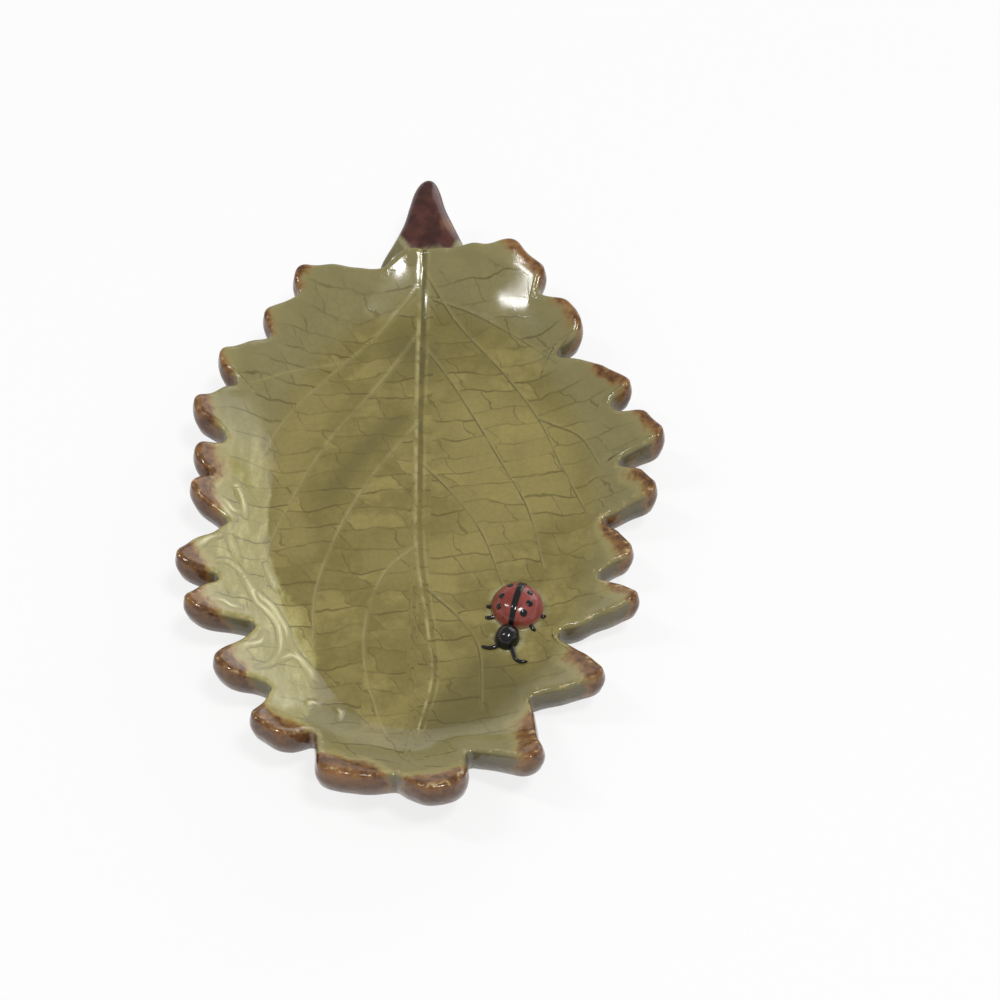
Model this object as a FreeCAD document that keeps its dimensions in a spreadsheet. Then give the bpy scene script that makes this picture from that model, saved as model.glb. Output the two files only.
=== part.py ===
import FreeCAD, Part
import math
import os

from FreeCAD import Placement, Rotation, Vector

# A leaf-shaped ceramic ring dish with a stem nub and a small modelled ladybug.
# One slab of clay, pressed with a leaf and cut along its margin, lies flat in the middle and leans
# up all round. The stem is let into its far edge, and the ladybug is pressed onto its floor.
# Millimetres. The origin is the centre of the flat underside, +Z is up, the stem points to +Y.

SIZES = (
    # the leaf's outline, its teeth included, without the stem
    ("blade_length", 124.0),
    ("blade_width", 86.0),
    # the slab, its flat oval floor and the wall that leans out from it
    ("slab_thickness", 6.2),
    ("floor_length", 90.0),
    ("floor_width", 54.0),
    ("wall_run", 16.0),
    ("wall_rise", 8.5),
    ("fold_radius", 6.0),
    # rounding of the outline's corners in plan, and the bevel that breaks the upper cut edge
    ("notch_radius", 0.9),
    ("shoulder_radius", 2.4),
    ("tip_radius", 2.2),
    ("edge_bevel", 1.1),
    # the pressed veins
    ("midrib_width", 1.5),
    ("vein_width", 1.0),
    ("vein_end_width", 0.5),
    ("vein_depth", 0.6),
    # the stem, from the leaf's far edge outwards
    ("stem_length", 16.0),
    ("stem_embed", 5.0),
    ("stem_lift", 4.0),
    ("stem_root_width", 12.4),
    ("stem_root_thickness", 6.0),
    ("stem_tip_width", 3.6),
    ("stem_tip_thickness", 3.2),
    # the ladybug's middle, in from the floor's right edge and near end, and how far it is turned
    # from facing the leaf's tip
    ("bug_side_gap", 10.6),
    ("bug_end_gap", 24.3),
    ("bug_turn", -15.0),
    # the ladybug's shell and head
    ("shell_radius", 4.65),
    ("shell_height", 3.7),
    ("head_radius", 2.3),
    ("head_height", 2.6),
    ("head_reach", 6.9),
    # its antennae, thin rolls bent outwards
    ("antenna_radius", 0.5),
    ("antenna_bend", 2.3),
    ("antenna_side", 3.9),
    ("antenna_reach", 8.4),
    ("antenna_left_sweep", 75.0),
    ("antenna_right_sweep", 110.0),
    # its leg nubs, beside the shell
    ("leg_reach", 6.3),
    ("leg_radius", 0.55),
    ("leg_front_angle", 43.0),
    ("leg_middle_angle", 11.0),
    # the raised slip marks on the shell
    ("mark_height", 0.2),
    ("stripe_width", 0.9),
    ("spot_radius", 0.6),
)

# Corners of the outline clockwise from the stem, as shares of half the blade's width and length:
# for each tooth the notch before it, its shoulder and its tip.
TOOTH_SHARES = (
    ((-0.21, 0.90), (-0.13, 0.96), (0.12, 0.96)),
    ((0.17, 0.945), (0.38, 0.955), (0.52, 0.86)),
    ((0.48, 0.79), (0.61, 0.745), (0.71, 0.635)),
    ((0.54, 0.59), (0.76, 0.505), (0.91, 0.385)),
    ((0.75, 0.36), (0.93, 0.295), (1.04, 0.175)),
    ((0.77, 0.155), (0.90, 0.10), (1.00, 0.0)),
    ((0.71, -0.03), (0.80, -0.085), (0.87, -0.19)),
    ((0.69, -0.24), (0.80, -0.29), (0.91, -0.375)),
    ((0.54, -0.425), (0.65, -0.52), (0.765, -0.645)),
    ((0.42, -0.65), (0.45, -0.76), (0.485, -0.945)),
    ((0.185, -0.845), (0.18, -0.995), (0.03, -1.025)),
    ((-0.08, -0.96), (-0.22, -0.98), (-0.38, -0.965)),
    ((-0.405, -0.785), (-0.52, -0.85), (-0.665, -0.785)),
    ((-0.57, -0.635), (-0.78, -0.635), (-0.82, -0.59)),
    ((-0.65, -0.41), (-0.91, -0.435), (-0.965, -0.39)),
    ((-0.80, -0.265), (-0.97, -0.28), (-1.015, -0.23)),
    ((-0.79, -0.06), (-0.94, -0.03), (-0.985, 0.045)),
    ((-0.86, 0.09), (-0.95, 0.10), (-0.985, 0.17)),
    ((-0.83, 0.22), (-0.97, 0.28), (-0.99, 0.335)),
    ((-0.80, 0.425), (-0.885, 0.455), (-0.90, 0.515)),
    ((-0.68, 0.61), (-0.72, 0.645), (-0.72, 0.69)),
    ((-0.57, 0.765), (-0.605, 0.805), (-0.585, 0.865)),
)
STEM_EDGE_SHARE = 0.96

# Veins on the floor as start, middle and end, in shares of half its width and length. The first two
# are the midrib.
VEIN_SHARES = (
    ((-0.055, 0.93), (-0.054, 0.33), (-0.046, -0.12)),
    ((-0.046, -0.11), (0.06, -0.565), (0.045, -0.92)),
    ((-0.08, 0.91), (-0.525, 0.51), (-0.88, 0.08)),
    ((-0.065, 0.46), (-0.46, 0.08), (-0.70, -0.50)),
    ((-0.05, -0.165), (-0.35, -0.50), (-0.24, -0.91)),
    ((0.25, 0.92), (0.575, 0.69), (0.86, 0.33)),
    ((-0.05, 0.895), (0.495, 0.295), (0.765, -0.195)),
    ((-0.05, 0.26), (0.33, -0.03), (0.495, -0.33)),
    ((0.015, -0.385), (0.315, -0.60), (0.38, -0.88)),
)
MIDRIB_COUNT = 2

# Along the stem from its root: the share of its length, how much of the root's size is left over
# the tip's, and the share of both that is left where the tip is rounded off.
STEM_TAPER_SHARES = (
    (0.0, 1.0, 1.0),
    (0.28, 0.70, 1.0),
    (0.60, 0.32, 1.0),
    (0.92, 0.03, 1.0),
    (0.98, 0.0, 0.82),
    (1.0, 0.0, 0.5),
)

# Spots on the right half of the shell, in shares of its radius, the head towards -Y.
SPOT_SHARES = ((0.46, 0.46), (0.62, 0.02), (0.56, -0.46))

# A corner's arc takes at most this share of the shorter side beside it.
CORNER_SIDE_SHARE = 0.48
# The floor's oval has ends of this share of its half width as radius.
END_RADIUS_SHARE = 0.7
# The uncut wall goes on past the longest tooth by this share of its run.
TUB_SHARE = 2.2
# A face counts as upright when the upward share of its normal is below this.
UPRIGHT_SHARE = 0.05
# The cut edge is bevelled by at most this share of the tightest bulging corner, so that it fits there.
EDGE_BEVEL_SHARE = 0.7
# On the underside, the fold between floor and wall is made of this many even chords.
FOLD_CHORDS = 1
# A small roll or nub is sunk by this share of its radius, so that it has a flat seat.
SEAT_SHARE = 0.3
# A dome's section is made of this many even chords, and it goes on below the floor by this share of
# the slab before it is trimmed.
DOME_CHORDS = 6
PLUG_SHARE = 0.5
# Sides of the stem's section, of a rolled antenna or leg, and of a dot of slip.
STEM_SIDES = 16
ROLL_SIDES = 8
DOT_SIDES = 12
# A dot of slip reaches inwards by this share of the shell's ball before it is trimmed.
DOT_DEPTH_SHARE = 0.1

ACROSS = Vector(1, 0, 0)
UPWARD = Vector(0, 0, 1)
# Turns an upright half disc so that it stands as an arch along Y.
LENGTHWAYS = Rotation(Vector(1, 1, 1), 120)

doc = FreeCAD.newDocument("leaf_ring_dish")
sheet = doc.addObject("Spreadsheet::Sheet", "sizes")
for row, (alias, value) in enumerate(SIZES, start=1):
    sheet.set(f"A{row}", alias)
    sheet.set(f"B{row}", str(value))
    sheet.setAlias(f"B{row}", alias)
doc.recompute()


def size(alias):
    """The number that the sheet holds under an alias."""
    return float(sheet.get(alias))


def add(kind, name, **expressions):
    """A new object whose properties follow the sheet. A double underscore stands for a dot."""
    item = doc.addObject(kind, name)
    for prop, expression in expressions.items():
        item.setExpression(prop.replace("__", "."), expression)
    return item


def combine(kind, name, base, tool):
    """A boolean of two objects."""
    item = doc.addObject(kind, name)
    item.Base = base
    item.Tool = tool
    return item


def on_plan(shares, whole):
    """A point in plan from its shares of half the width and length of the whole blade or floor."""
    return Vector(shares[0] * size(f"{whole}_width") / 2, shares[1] * size(f"{whole}_length") / 2, 0)


def rounded_wire(corners, radii):
    """A closed wire with a tangent arc at each corner, as large as asked or as its sides allow.

    Also gives the smallest radius among the corners that bulge outwards, on a clockwise wire.
    """
    arcs = []
    bulges = []
    for index, corner in enumerate(corners):
        back = corners[index - 1] - corner
        ahead = corners[(index + 1) % len(corners)] - corner
        half_turn = (math.pi - back.getAngle(ahead)) / 2
        room = CORNER_SIDE_SHARE * min(back.Length, ahead.Length)
        reach = min(radii[index] * math.tan(half_turn), room)
        radius = reach / math.tan(half_turn)
        if ahead.cross(back).z < 0:
            bulges.append(radius)
        back.normalize()
        ahead.normalize()
        inward = back + ahead
        inward.normalize()
        middle = corner + inward * (math.hypot(reach, radius) - radius)
        arcs.append((corner + back * reach, middle, corner + ahead * reach))
    edges = []
    for index, (start, middle, end) in enumerate(arcs):
        edges.append(Part.LineSegment(arcs[index - 1][2], start).toShape())
        edges.append(Part.Arc(start, middle, end).toShape())
    return Part.Wire(edges), min(bulges)


def tapered_strip(points, start_width, end_width):
    """A flat strip along the arc through three points, narrowing from its start to its end."""
    spine = Part.Arc(*points).toShape()
    first, last = spine.ParameterRange
    widths = (start_width, (start_width + end_width) / 2, end_width)
    left = []
    right = []
    for width, along in zip(widths, (first, (first + last) / 2, last)):
        sideways = UPWARD.cross(spine.tangentAt(along)) * (width / 2)
        left.append(spine.valueAt(along) + sideways)
        right.append(spine.valueAt(along) - sideways)
    return Part.Face(Part.Wire([
        Part.Arc(*left).toShape(),
        Part.LineSegment(left[2], right[2]).toShape(),
        Part.Arc(right[2], right[1], right[0]).toShape(),
        Part.LineSegment(right[0], left[0]).toShape(),
    ]))


def slab_profile(name, floor_reach, inner_reach):
    """The slab's section out from an upright axis: flat floor, fold and leaning wall.

    The fold is an arc on the upper side, with chords about the same centre underneath.
    """
    thickness = size("slab_thickness")
    fold = size("fold_radius")
    slope = math.atan2(size("wall_rise"), size("wall_run"))
    centre = Vector(floor_reach - fold * math.tan(slope / 2), 0, thickness + fold)
    outwards = Vector(math.cos(slope), 0, math.sin(slope)) * (TUB_SHARE * size("wall_run"))

    def around(radius, share):
        return centre + Vector(math.sin(slope * share), 0, -math.cos(slope * share)) * radius

    upper = [around(fold, share) for share in (0, 1 / 2, 1)]
    lower = [around(fold + thickness, chord / FOLD_CHORDS) for chord in range(FOLD_CHORDS + 1)]
    floor_edge = Vector(inner_reach, 0, thickness)
    base_edge = Vector(inner_reach, 0, 0)
    outline = [upper[2], upper[2] + outwards, lower[-1] + outwards]
    outline += lower[::-1] + [base_edge, floor_edge, upper[0]]
    wire = Part.Wire([Part.Arc(*upper).toShape()] + Part.makePolygon(outline).Edges)
    profile = doc.addObject("Part::Feature", name)
    profile.Shape = Part.Face(wire)
    return profile


def make_bowl():
    """The uncut slab: four turned sectors about the centres of a four-arc oval, and a middle plate."""
    half_width = size("floor_width") / 2
    half_length = size("floor_length") / 2
    end_radius = END_RADIUS_SHARE * half_width
    end_centre = half_length - end_radius
    side_radius = (half_width ** 2 + end_centre ** 2 - end_radius ** 2) / (2 * (half_width - end_radius))
    side_centre = side_radius - half_width
    half_angle = math.degrees(math.atan2(end_centre, side_centre))
    sectors = []
    for turn, name in ((0, "right"), (90, "far"), (180, "left"), (270, "near")):
        on_side = turn % 180 == 0
        if on_side:
            span, reach, inner_reach, offset = half_angle, side_radius, side_centre, -side_centre
        else:
            span, reach, inner_reach, offset = 90 - half_angle, end_radius, 0, end_centre
        centre = Rotation(UPWARD, turn).multVec(Vector(offset, 0, 0))
        profile = slab_profile(f"profile_{name}", reach, inner_reach)
        profile.Placement = Placement(centre, Rotation(UPWARD, turn - span))
        sector = doc.addObject("Part::Revolution", f"sector_{name}")
        sector.Source = profile
        sector.Axis = UPWARD
        sector.Base = centre
        sector.Angle = 2 * span
        sector.Solid = True
        sectors.append(sector)
    rhomb = Part.makePolygon([
        Vector(half_width / 2, 0, 0), Vector(0, end_centre, 0), Vector(-half_width / 2, 0, 0),
        Vector(0, -end_centre, 0), Vector(half_width / 2, 0, 0)])
    middle_outline = doc.addObject("Part::Feature", "middle_outline")
    middle_outline.Shape = Part.Face(rhomb)
    middle = add("Part::Extrusion", "middle_plate", LengthFwd="sizes.slab_thickness")
    middle.Base = middle_outline
    middle.DirMode = "Custom"
    middle.Dir = UPWARD
    middle.Solid = True
    bowl = doc.addObject("Part::MultiFuse", "bowl")
    bowl.Shapes = sectors + [middle]
    bowl.Refine = True
    return bowl


def upward_share(face):
    """The upward share of a face's normal at its middle: nothing on the upright cut edge."""
    u_first, u_last, v_first, v_last = face.ParameterRange
    return face.normalAt((u_first + u_last) / 2, (v_first + v_last) / 2).z


def rim_edges(shape):
    """Numbers of the edges where the slab's cut edge meets its upper face."""
    numbers = []
    for number, edge in enumerate(shape.Edges, start=1):
        shares = [upward_share(face) for face in shape.ancestorsOfType(edge, Part.Face)]
        if abs(min(shares)) < UPRIGHT_SHARE < max(shares):
            numbers.append(number)
    return numbers


def make_stem():
    """The stem: oval sections from its seat in the slab to its blunt tip, with flats between."""
    edge_place = STEM_EDGE_SHARE * size("blade_length") / 2
    climb = size("wall_rise") / size("wall_run")
    edge_level = size("slab_thickness") / 2 + (edge_place - size("floor_length") / 2) * climb
    stations = [(-size("stem_embed"), -size("stem_embed") * climb, 1.0, 1.0)]
    for along, left, end in STEM_TAPER_SHARES:
        stations.append((along * size("stem_length"), along * size("stem_lift"), left, end))
    sections = []
    for out, lift, left, end in stations:
        half_width, half_thickness = (
            end * (left * size(f"stem_root_{way}") + (1 - left) * size(f"stem_tip_{way}")) / 2
            for way in ("width", "thickness")
        )
        corners = []
        for side in range(STEM_SIDES + 1):
            angle = 2 * math.pi * side / STEM_SIDES
            corners.append(Vector(
                half_width * math.cos(angle), edge_place + out,
                edge_level + lift + half_thickness * math.sin(angle)))
        sections.append(Part.makePolygon(corners))
    stem = doc.addObject("Part::Feature", "stem")
    stem.Shape = Part.makeLoft(sections, True, True)
    return stem


def make_leaf(bowl, stem):
    """The slab: the bowl cut to the leaf's outline, with pressed veins and a seat for the stem."""
    corners = [on_plan(shares, "blade") for tooth in TOOTH_SHARES for shares in tooth]
    radii = [size("notch_radius"), size("shoulder_radius"), size("tip_radius")] * len(TOOTH_SHARES)
    wire, tightest = rounded_wire(corners, radii)
    outline = doc.addObject("Part::Feature", "leaf_outline")
    outline.Shape = Part.Face(wire)
    blank = add("Part::Extrusion", "leaf_blank", LengthFwd=f"{TUB_SHARE} * sizes.wall_run")
    blank.Base = outline
    blank.DirMode = "Custom"
    blank.Dir = UPWARD
    blank.Solid = True
    cut = combine("Part::Common", "slab_cut", bowl, blank)
    doc.recompute()
    bevel = min(size("edge_bevel"), EDGE_BEVEL_SHARE * tightest)
    slab = doc.addObject("Part::Chamfer", "slab")
    slab.Base = cut
    slab.Edges = [(number, bevel, bevel) for number in rim_edges(cut.Shape)]

    strips = []
    for number, vein in enumerate(VEIN_SHARES):
        width = size("midrib_width") if number < MIDRIB_COUNT else size("vein_width")
        strip = tapered_strip(
            [on_plan(shares, "floor") for shares in vein], width, size("vein_end_width"))
        strip.translate(UPWARD * (size("slab_thickness") - size("vein_depth")))
        strips.append(strip.extrude(UPWARD * size("slab_thickness")))
    veins = doc.addObject("Part::Feature", "vein_strips")
    veins.Shape = strips[0].multiFuse(strips[1:]).removeSplitter()
    pressed = combine("Part::Cut", "slab_pressed", slab, veins)
    return combine("Part::Cut", "leaf_dish", pressed, stem)


def ball_radius(piece):
    """The radius, as an expression, of the ball whose cap has a piece's radius and height."""
    return f"(sizes.{piece}_radius ^ 2 + sizes.{piece}_height ^ 2) / (2 * sizes.{piece}_height)"


def make_dome(piece, reach):
    """A turned dome ahead of the ladybug's middle: a ball's cap in chords, over a plug below the floor."""
    radius = sheet.evalExpression(ball_radius(piece))
    height = size(f"{piece}_height")
    cap_angle = math.acos((radius - height) / radius)
    section = []
    for chord in range(DOME_CHORDS + 1):
        angle = cap_angle * chord / DOME_CHORDS
        section.append(Vector(radius * math.sin(angle), 0, height - radius + radius * math.cos(angle)))
    foot = -PLUG_SHARE * size("slab_thickness")
    section += [Vector(section[-1].x, 0, foot), Vector(0, 0, foot), section[0]]
    profile = doc.addObject("Part::Feature", f"{piece}_profile")
    profile.Shape = Part.Face(Part.makePolygon(section))
    profile.Placement = Placement(Vector(0, -reach, 0), Rotation())
    dome = doc.addObject("Part::Revolution", f"bug_{piece}")
    dome.Source = profile
    dome.Axis = UPWARD
    dome.Base = Vector(0, -reach, 0)
    dome.Angle = 360
    dome.Solid = True
    return dome


def make_antenna(name, side):
    """A roll of clay on the floor, bent outwards about an upright axis beside the head."""
    sweep = size(f"antenna_{name}_sweep")
    axis_place = Vector(side * size("antenna_side"), -size("antenna_reach"), 0)
    turn = Rotation(UPWARD, 180 if side > 0 else -sweep)
    level = UPWARD * ((1 - SEAT_SHARE) * size("antenna_radius"))
    section = add(
        "Part::RegularPolygon", f"antenna_section_{name}", Circumradius="sizes.antenna_radius")
    section.Polygon = ROLL_SIDES
    section.Placement = Placement(
        axis_place + level + turn.multVec(ACROSS * size("antenna_bend")),
        turn * Rotation(ACROSS, 90))
    roll = doc.addObject("Part::Revolution", f"antenna_roll_{name}")
    roll.Source = section
    roll.Axis = UPWARD
    roll.Base = axis_place
    roll.Angle = sweep
    roll.Solid = True
    return roll


def make_leg(name, side, pair):
    """A rolled nub that lies on the floor and points out from under the shell."""
    ahead = math.radians(size(f"leg_{pair}_angle"))
    nub = add(
        "Part::Prism", f"leg_nub_{name}_{pair}", Circumradius="sizes.leg_radius",
        Height="sizes.leg_reach")
    nub.Polygon = ROLL_SIDES
    nub.Placement = Placement(
        UPWARD * ((1 - SEAT_SHARE) * size("leg_radius")),
        Rotation(UPWARD, Vector(side * math.cos(ahead), -math.sin(ahead), 0)))
    return nub


def make_dot(name, out, back):
    """A dot of slip, square to the shell at the given shares of its radius from its middle."""
    radius = sheet.evalExpression(ball_radius("shell"))
    across = out * size("shell_radius")
    along = back * size("shell_radius")
    outwards = Vector(across, along, math.sqrt(radius ** 2 - across ** 2 - along ** 2))
    dot = add(
        "Part::Prism", name, Circumradius="sizes.spot_radius",
        Height=f"{DOT_DEPTH_SHARE} * {ball_radius('shell')} + sizes.mark_height")
    dot.Polygon = DOT_SIDES
    dot.Placement = Placement(
        UPWARD * (size("shell_height") - radius) + outwards * (1 - DOT_DEPTH_SHARE),
        Rotation(UPWARD, outwards))
    return dot


def make_ladybug(bowl):
    """The ladybug: shell, head, antennae, leg nubs and the raised slip marks on the shell.

    Each piece is made about the ladybug's own centre, set in its place and trimmed by the bowl.
    """
    dome = make_dome("shell", 0)
    head = make_dome("head", size("head_reach"))
    body = combine("Part::Fuse", "bug_body", dome, head)
    arch = []
    for name, proud in (("stripe_disc", "sizes.mark_height"), ("stripe_bore", "0")):
        disc = add(
            "Part::Cylinder", name, Radius=f"{ball_radius('shell')} + {proud}",
            Height="sizes.stripe_width", Angle="180")
        disc.Placement = Placement(Vector(), LENGTHWAYS)
        disc.setExpression("Placement.Base.x", "-sizes.stripe_width / 2")
        disc.setExpression("Placement.Base.z", f"sizes.shell_height - {ball_radius('shell')}")
        arch.append(disc)
    hoop = combine("Part::Cut", "stripe_hoop", *arch)
    loose = {
        "shell": dome,
        "head": combine("Part::Cut", "bug_face", head, dome),
        "stripe": combine("Part::Cut", "bug_stripe", hoop, head),
    }
    for side, name in ((-1, "left"), (1, "right")):
        roll = make_antenna(name, side)
        loose[f"antenna_{name}"] = combine("Part::Cut", f"bug_antenna_{name}", roll, body)
        for pair in ("front", "middle"):
            nub = make_leg(name, side, pair)
            loose[f"leg_{name}_{pair}"] = combine("Part::Cut", f"bug_leg_{name}_{pair}", nub, body)
        for number, (out, back) in enumerate(SPOT_SHARES, start=1):
            dot = make_dot(f"dot_{name}_{number}", side * out, back)
            loose[f"spot_{name}_{number}"] = combine("Part::Cut", f"bug_spot_{name}_{number}", dot, body)

    pieces = []
    for name, piece in loose.items():
        placed = doc.addObject("Part::Compound", f"placed_{name}")
        placed.Links = [piece]
        placed.Placement = Placement(Vector(), Rotation(UPWARD, size("bug_turn")))
        placed.setExpression("Placement.Base.x", "sizes.floor_width / 2 - sizes.bug_side_gap")
        placed.setExpression("Placement.Base.y", "sizes.bug_end_gap - sizes.floor_length / 2")
        placed.setExpression("Placement.Base.z", "sizes.slab_thickness")
        pieces.append(combine("Part::Cut", f"ladybug_{name}", placed, bowl))
    return pieces


bowl = make_bowl()
stem = make_stem()
nodes = [make_leaf(bowl, stem), stem] + make_ladybug(bowl)
doc.recompute()

for item in doc.Objects:
    if "Invalid" in item.State or "Error" in item.State:
        raise RuntimeError(f"{item.Name} did not build: {item.State}")
for node in nodes:
    if node.Shape.isNull() or not node.Shape.isValid() or not node.Shape.Solids:
        raise RuntimeError(f"{node.Label} is not a valid solid")

os.makedirs("parts", exist_ok=True)
for node in nodes:
    node.Shape.exportStep(f"parts/{node.Label}.step")
    box = node.Shape.BoundBox
    print(
        f"{node.Label}: {len(node.Shape.Solids)} solid, {node.Shape.Volume:.1f} mm3,"
        f" x {box.XMin:.1f} to {box.XMax:.1f}, y {box.YMin:.1f} to {box.YMax:.1f},"
        f" z {box.ZMin:.1f} to {box.ZMax:.1f}")
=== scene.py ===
"""A ring dish: a slab-built ceramic leaf with a stem nub and a small modelled ladybug."""

import bpy
import numpy as np
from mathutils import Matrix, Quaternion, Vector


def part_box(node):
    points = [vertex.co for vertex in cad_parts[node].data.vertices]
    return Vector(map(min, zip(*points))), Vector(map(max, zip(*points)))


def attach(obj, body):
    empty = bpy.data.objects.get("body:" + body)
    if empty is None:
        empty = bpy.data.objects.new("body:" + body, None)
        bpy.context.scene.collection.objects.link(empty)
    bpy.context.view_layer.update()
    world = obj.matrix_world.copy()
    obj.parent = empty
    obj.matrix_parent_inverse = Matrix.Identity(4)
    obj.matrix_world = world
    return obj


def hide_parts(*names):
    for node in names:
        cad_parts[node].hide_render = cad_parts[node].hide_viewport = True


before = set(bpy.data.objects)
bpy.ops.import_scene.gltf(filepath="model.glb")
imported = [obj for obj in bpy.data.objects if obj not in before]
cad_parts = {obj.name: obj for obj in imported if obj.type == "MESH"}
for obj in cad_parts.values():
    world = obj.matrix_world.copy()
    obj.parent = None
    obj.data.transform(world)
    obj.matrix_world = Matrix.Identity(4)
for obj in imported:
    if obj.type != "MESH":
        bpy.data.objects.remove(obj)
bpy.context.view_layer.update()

# Leaf dish: a slab of stoneware rolled out under a real leaf, cut along the leaf's margin and slumped on
# an oval form, so that its floor is flat and its toothed rim flares. An olive glaze covers it, pools dark
# in the pressed veins, and breaks to rust over the wiped tips.
MM = 0.001                              # sizes of meshes are in millimetres, those of patterns in metres
LEAF_HALF = np.array([43.0, 62.0])
SLAB = 6.2
FLOOR_HALF_WIDTH = 27.0
FLOOR_HALF_LENGTH = 45.0
FLOOR_END_RADIUS = 18.9
FOLD_RADIUS = 6.0
FLARE = np.radians(28)
CUT_RADII = (2.6, 3.2, 0.9)             # tooth tip, shoulder and notch, seen from above
NOTCH_ROUND = 1.2                       # the upper edge's rounding in a notch
TOOTH_ROUND_SHARE = 0.8                 # the upper edge's rounding on a tooth, of its radius seen from above
TOOTH_ROUND_LIMITS = (0.8, 1.5)
FOOT_ROUND = 1.5
SIDE_BULGE = 0.35
WALL_BOW = 0.6                          # how far the wall hollows between the fold and the rim
WALL_WIDTH = 14.0
WALL_WAVE_START = 6.0                   # how far out from the floor the wall's own wave is at its full height

# The hand's unevenness is waves, each with its height, its length and the seed of its draw.
CUT_WAVE = (0.30, 6, 5)
FLOOR_WAVES = ((0.10, 26, 1), (0.05, 9, 2))
WALL_WAVE = (0.25, 17, 3)

# Each tooth is a tip, a shoulder and a notch, in shares of the leaf's half width and half length. They go
# round against the clock, from the tooth left of the stem to the ledge that carries the stem.
TOOTH_SHARES = (
    ((-0.585, 0.865), (-0.605, 0.805), (-0.57, 0.765)),
    ((-0.72, 0.69), (-0.72, 0.645), (-0.68, 0.61)),
    ((-0.90, 0.515), (-0.885, 0.455), (-0.80, 0.425)),
    ((-0.99, 0.335), (-0.97, 0.28), (-0.83, 0.22)),
    ((-0.985, 0.17), (-0.95, 0.10), (-0.86, 0.09)),
    ((-0.985, 0.045), (-0.94, -0.03), (-0.79, -0.06)),
    ((-1.015, -0.23), (-0.97, -0.28), (-0.80, -0.265)),
    ((-0.965, -0.39), (-0.91, -0.435), (-0.65, -0.41)),
    ((-0.82, -0.59), (-0.78, -0.635), (-0.57, -0.635)),
    ((-0.665, -0.785), (-0.52, -0.85), (-0.405, -0.785)),
    ((-0.38, -0.965), (-0.22, -0.98), (-0.08, -0.96)),
    ((0.03, -1.025), (0.18, -0.995), (0.185, -0.845)),
    ((0.485, -0.945), (0.45, -0.76), (0.42, -0.65)),
    ((0.765, -0.645), (0.65, -0.52), (0.54, -0.425)),
    ((0.91, -0.375), (0.80, -0.29), (0.69, -0.24)),
    ((0.87, -0.19), (0.80, -0.085), (0.71, -0.03)),
    ((1.00, 0.0), (0.90, 0.10), (0.77, 0.155)),
    ((1.04, 0.175), (0.93, 0.295), (0.75, 0.36)),
    ((0.91, 0.385), (0.76, 0.505), (0.54, 0.59)),
    ((0.71, 0.635), (0.61, 0.745), (0.48, 0.79)),
    ((0.52, 0.86), (0.38, 0.97), (0.17, 0.96)),
    ((0.12, 0.965), (-0.13, 0.96), (-0.21, 0.90)),
)
SIDE_SHARE = 0.48                       # of a tooth's shorter side, the most that one corner's arc takes

# Each vein is its route in the same shares, the midrib first. Half widths are at its root and at its end.
VEIN_SHARES = (
    ((-0.03, 1.0), (-0.035, 0.50), (-0.03, 0.10), (-0.02, -0.14), (0.03, -0.40), (0.05, -0.57), (0.0, -0.74)),
    ((-0.06, 0.84), (-0.28, 0.65), (-0.47, 0.49), (-0.62, 0.33), (-0.70, 0.18)),
    ((-0.36, 0.585), (-0.56, 0.52), (-0.76, 0.43)),
    ((-0.05, 0.70), (-0.22, 0.49), (-0.43, 0.26), (-0.58, 0.02), (-0.65, -0.17), (-0.59, -0.29)),
    ((-0.045, 0.34), (-0.23, 0.14), (-0.36, -0.06), (-0.44, -0.27), (-0.44, -0.44)),
    ((-0.03, -0.11), (-0.16, -0.21), (-0.23, -0.38), (-0.22, -0.56), (-0.13, -0.77)),
    ((0.02, 0.81), (0.20, 0.76), (0.40, 0.66), (0.56, 0.55)),
    ((-0.03, 0.90), (0.10, 0.76), (0.31, 0.56), (0.48, 0.36), (0.58, 0.17), (0.68, -0.01)),
    ((0.48, 0.365), (0.65, 0.28), (0.74, 0.14)),
    ((-0.03, 0.66), (0.12, 0.48), (0.31, 0.21), (0.43, 0.02), (0.49, -0.19)),
    ((-0.02, 0.19), (0.12, 0.07), (0.24, -0.07), (0.33, -0.27)),
    ((0.02, -0.27), (0.15, -0.37), (0.23, -0.48), (0.24, -0.68)),
)
MIDRIB_HALF_WIDTHS = (0.80, 0.45)
VEIN_HALF_WIDTHS = (0.42, 0.25)
MIDRIB_DEPTH = 0.24
VEIN_DEPTH = 0.09
VEIN_FADE = 0.5                         # how much of a vein's depth is gone at its end
ROOT_NEAR = 5.0                         # a side vein with its root nearer the middle springs from the midrib

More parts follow.
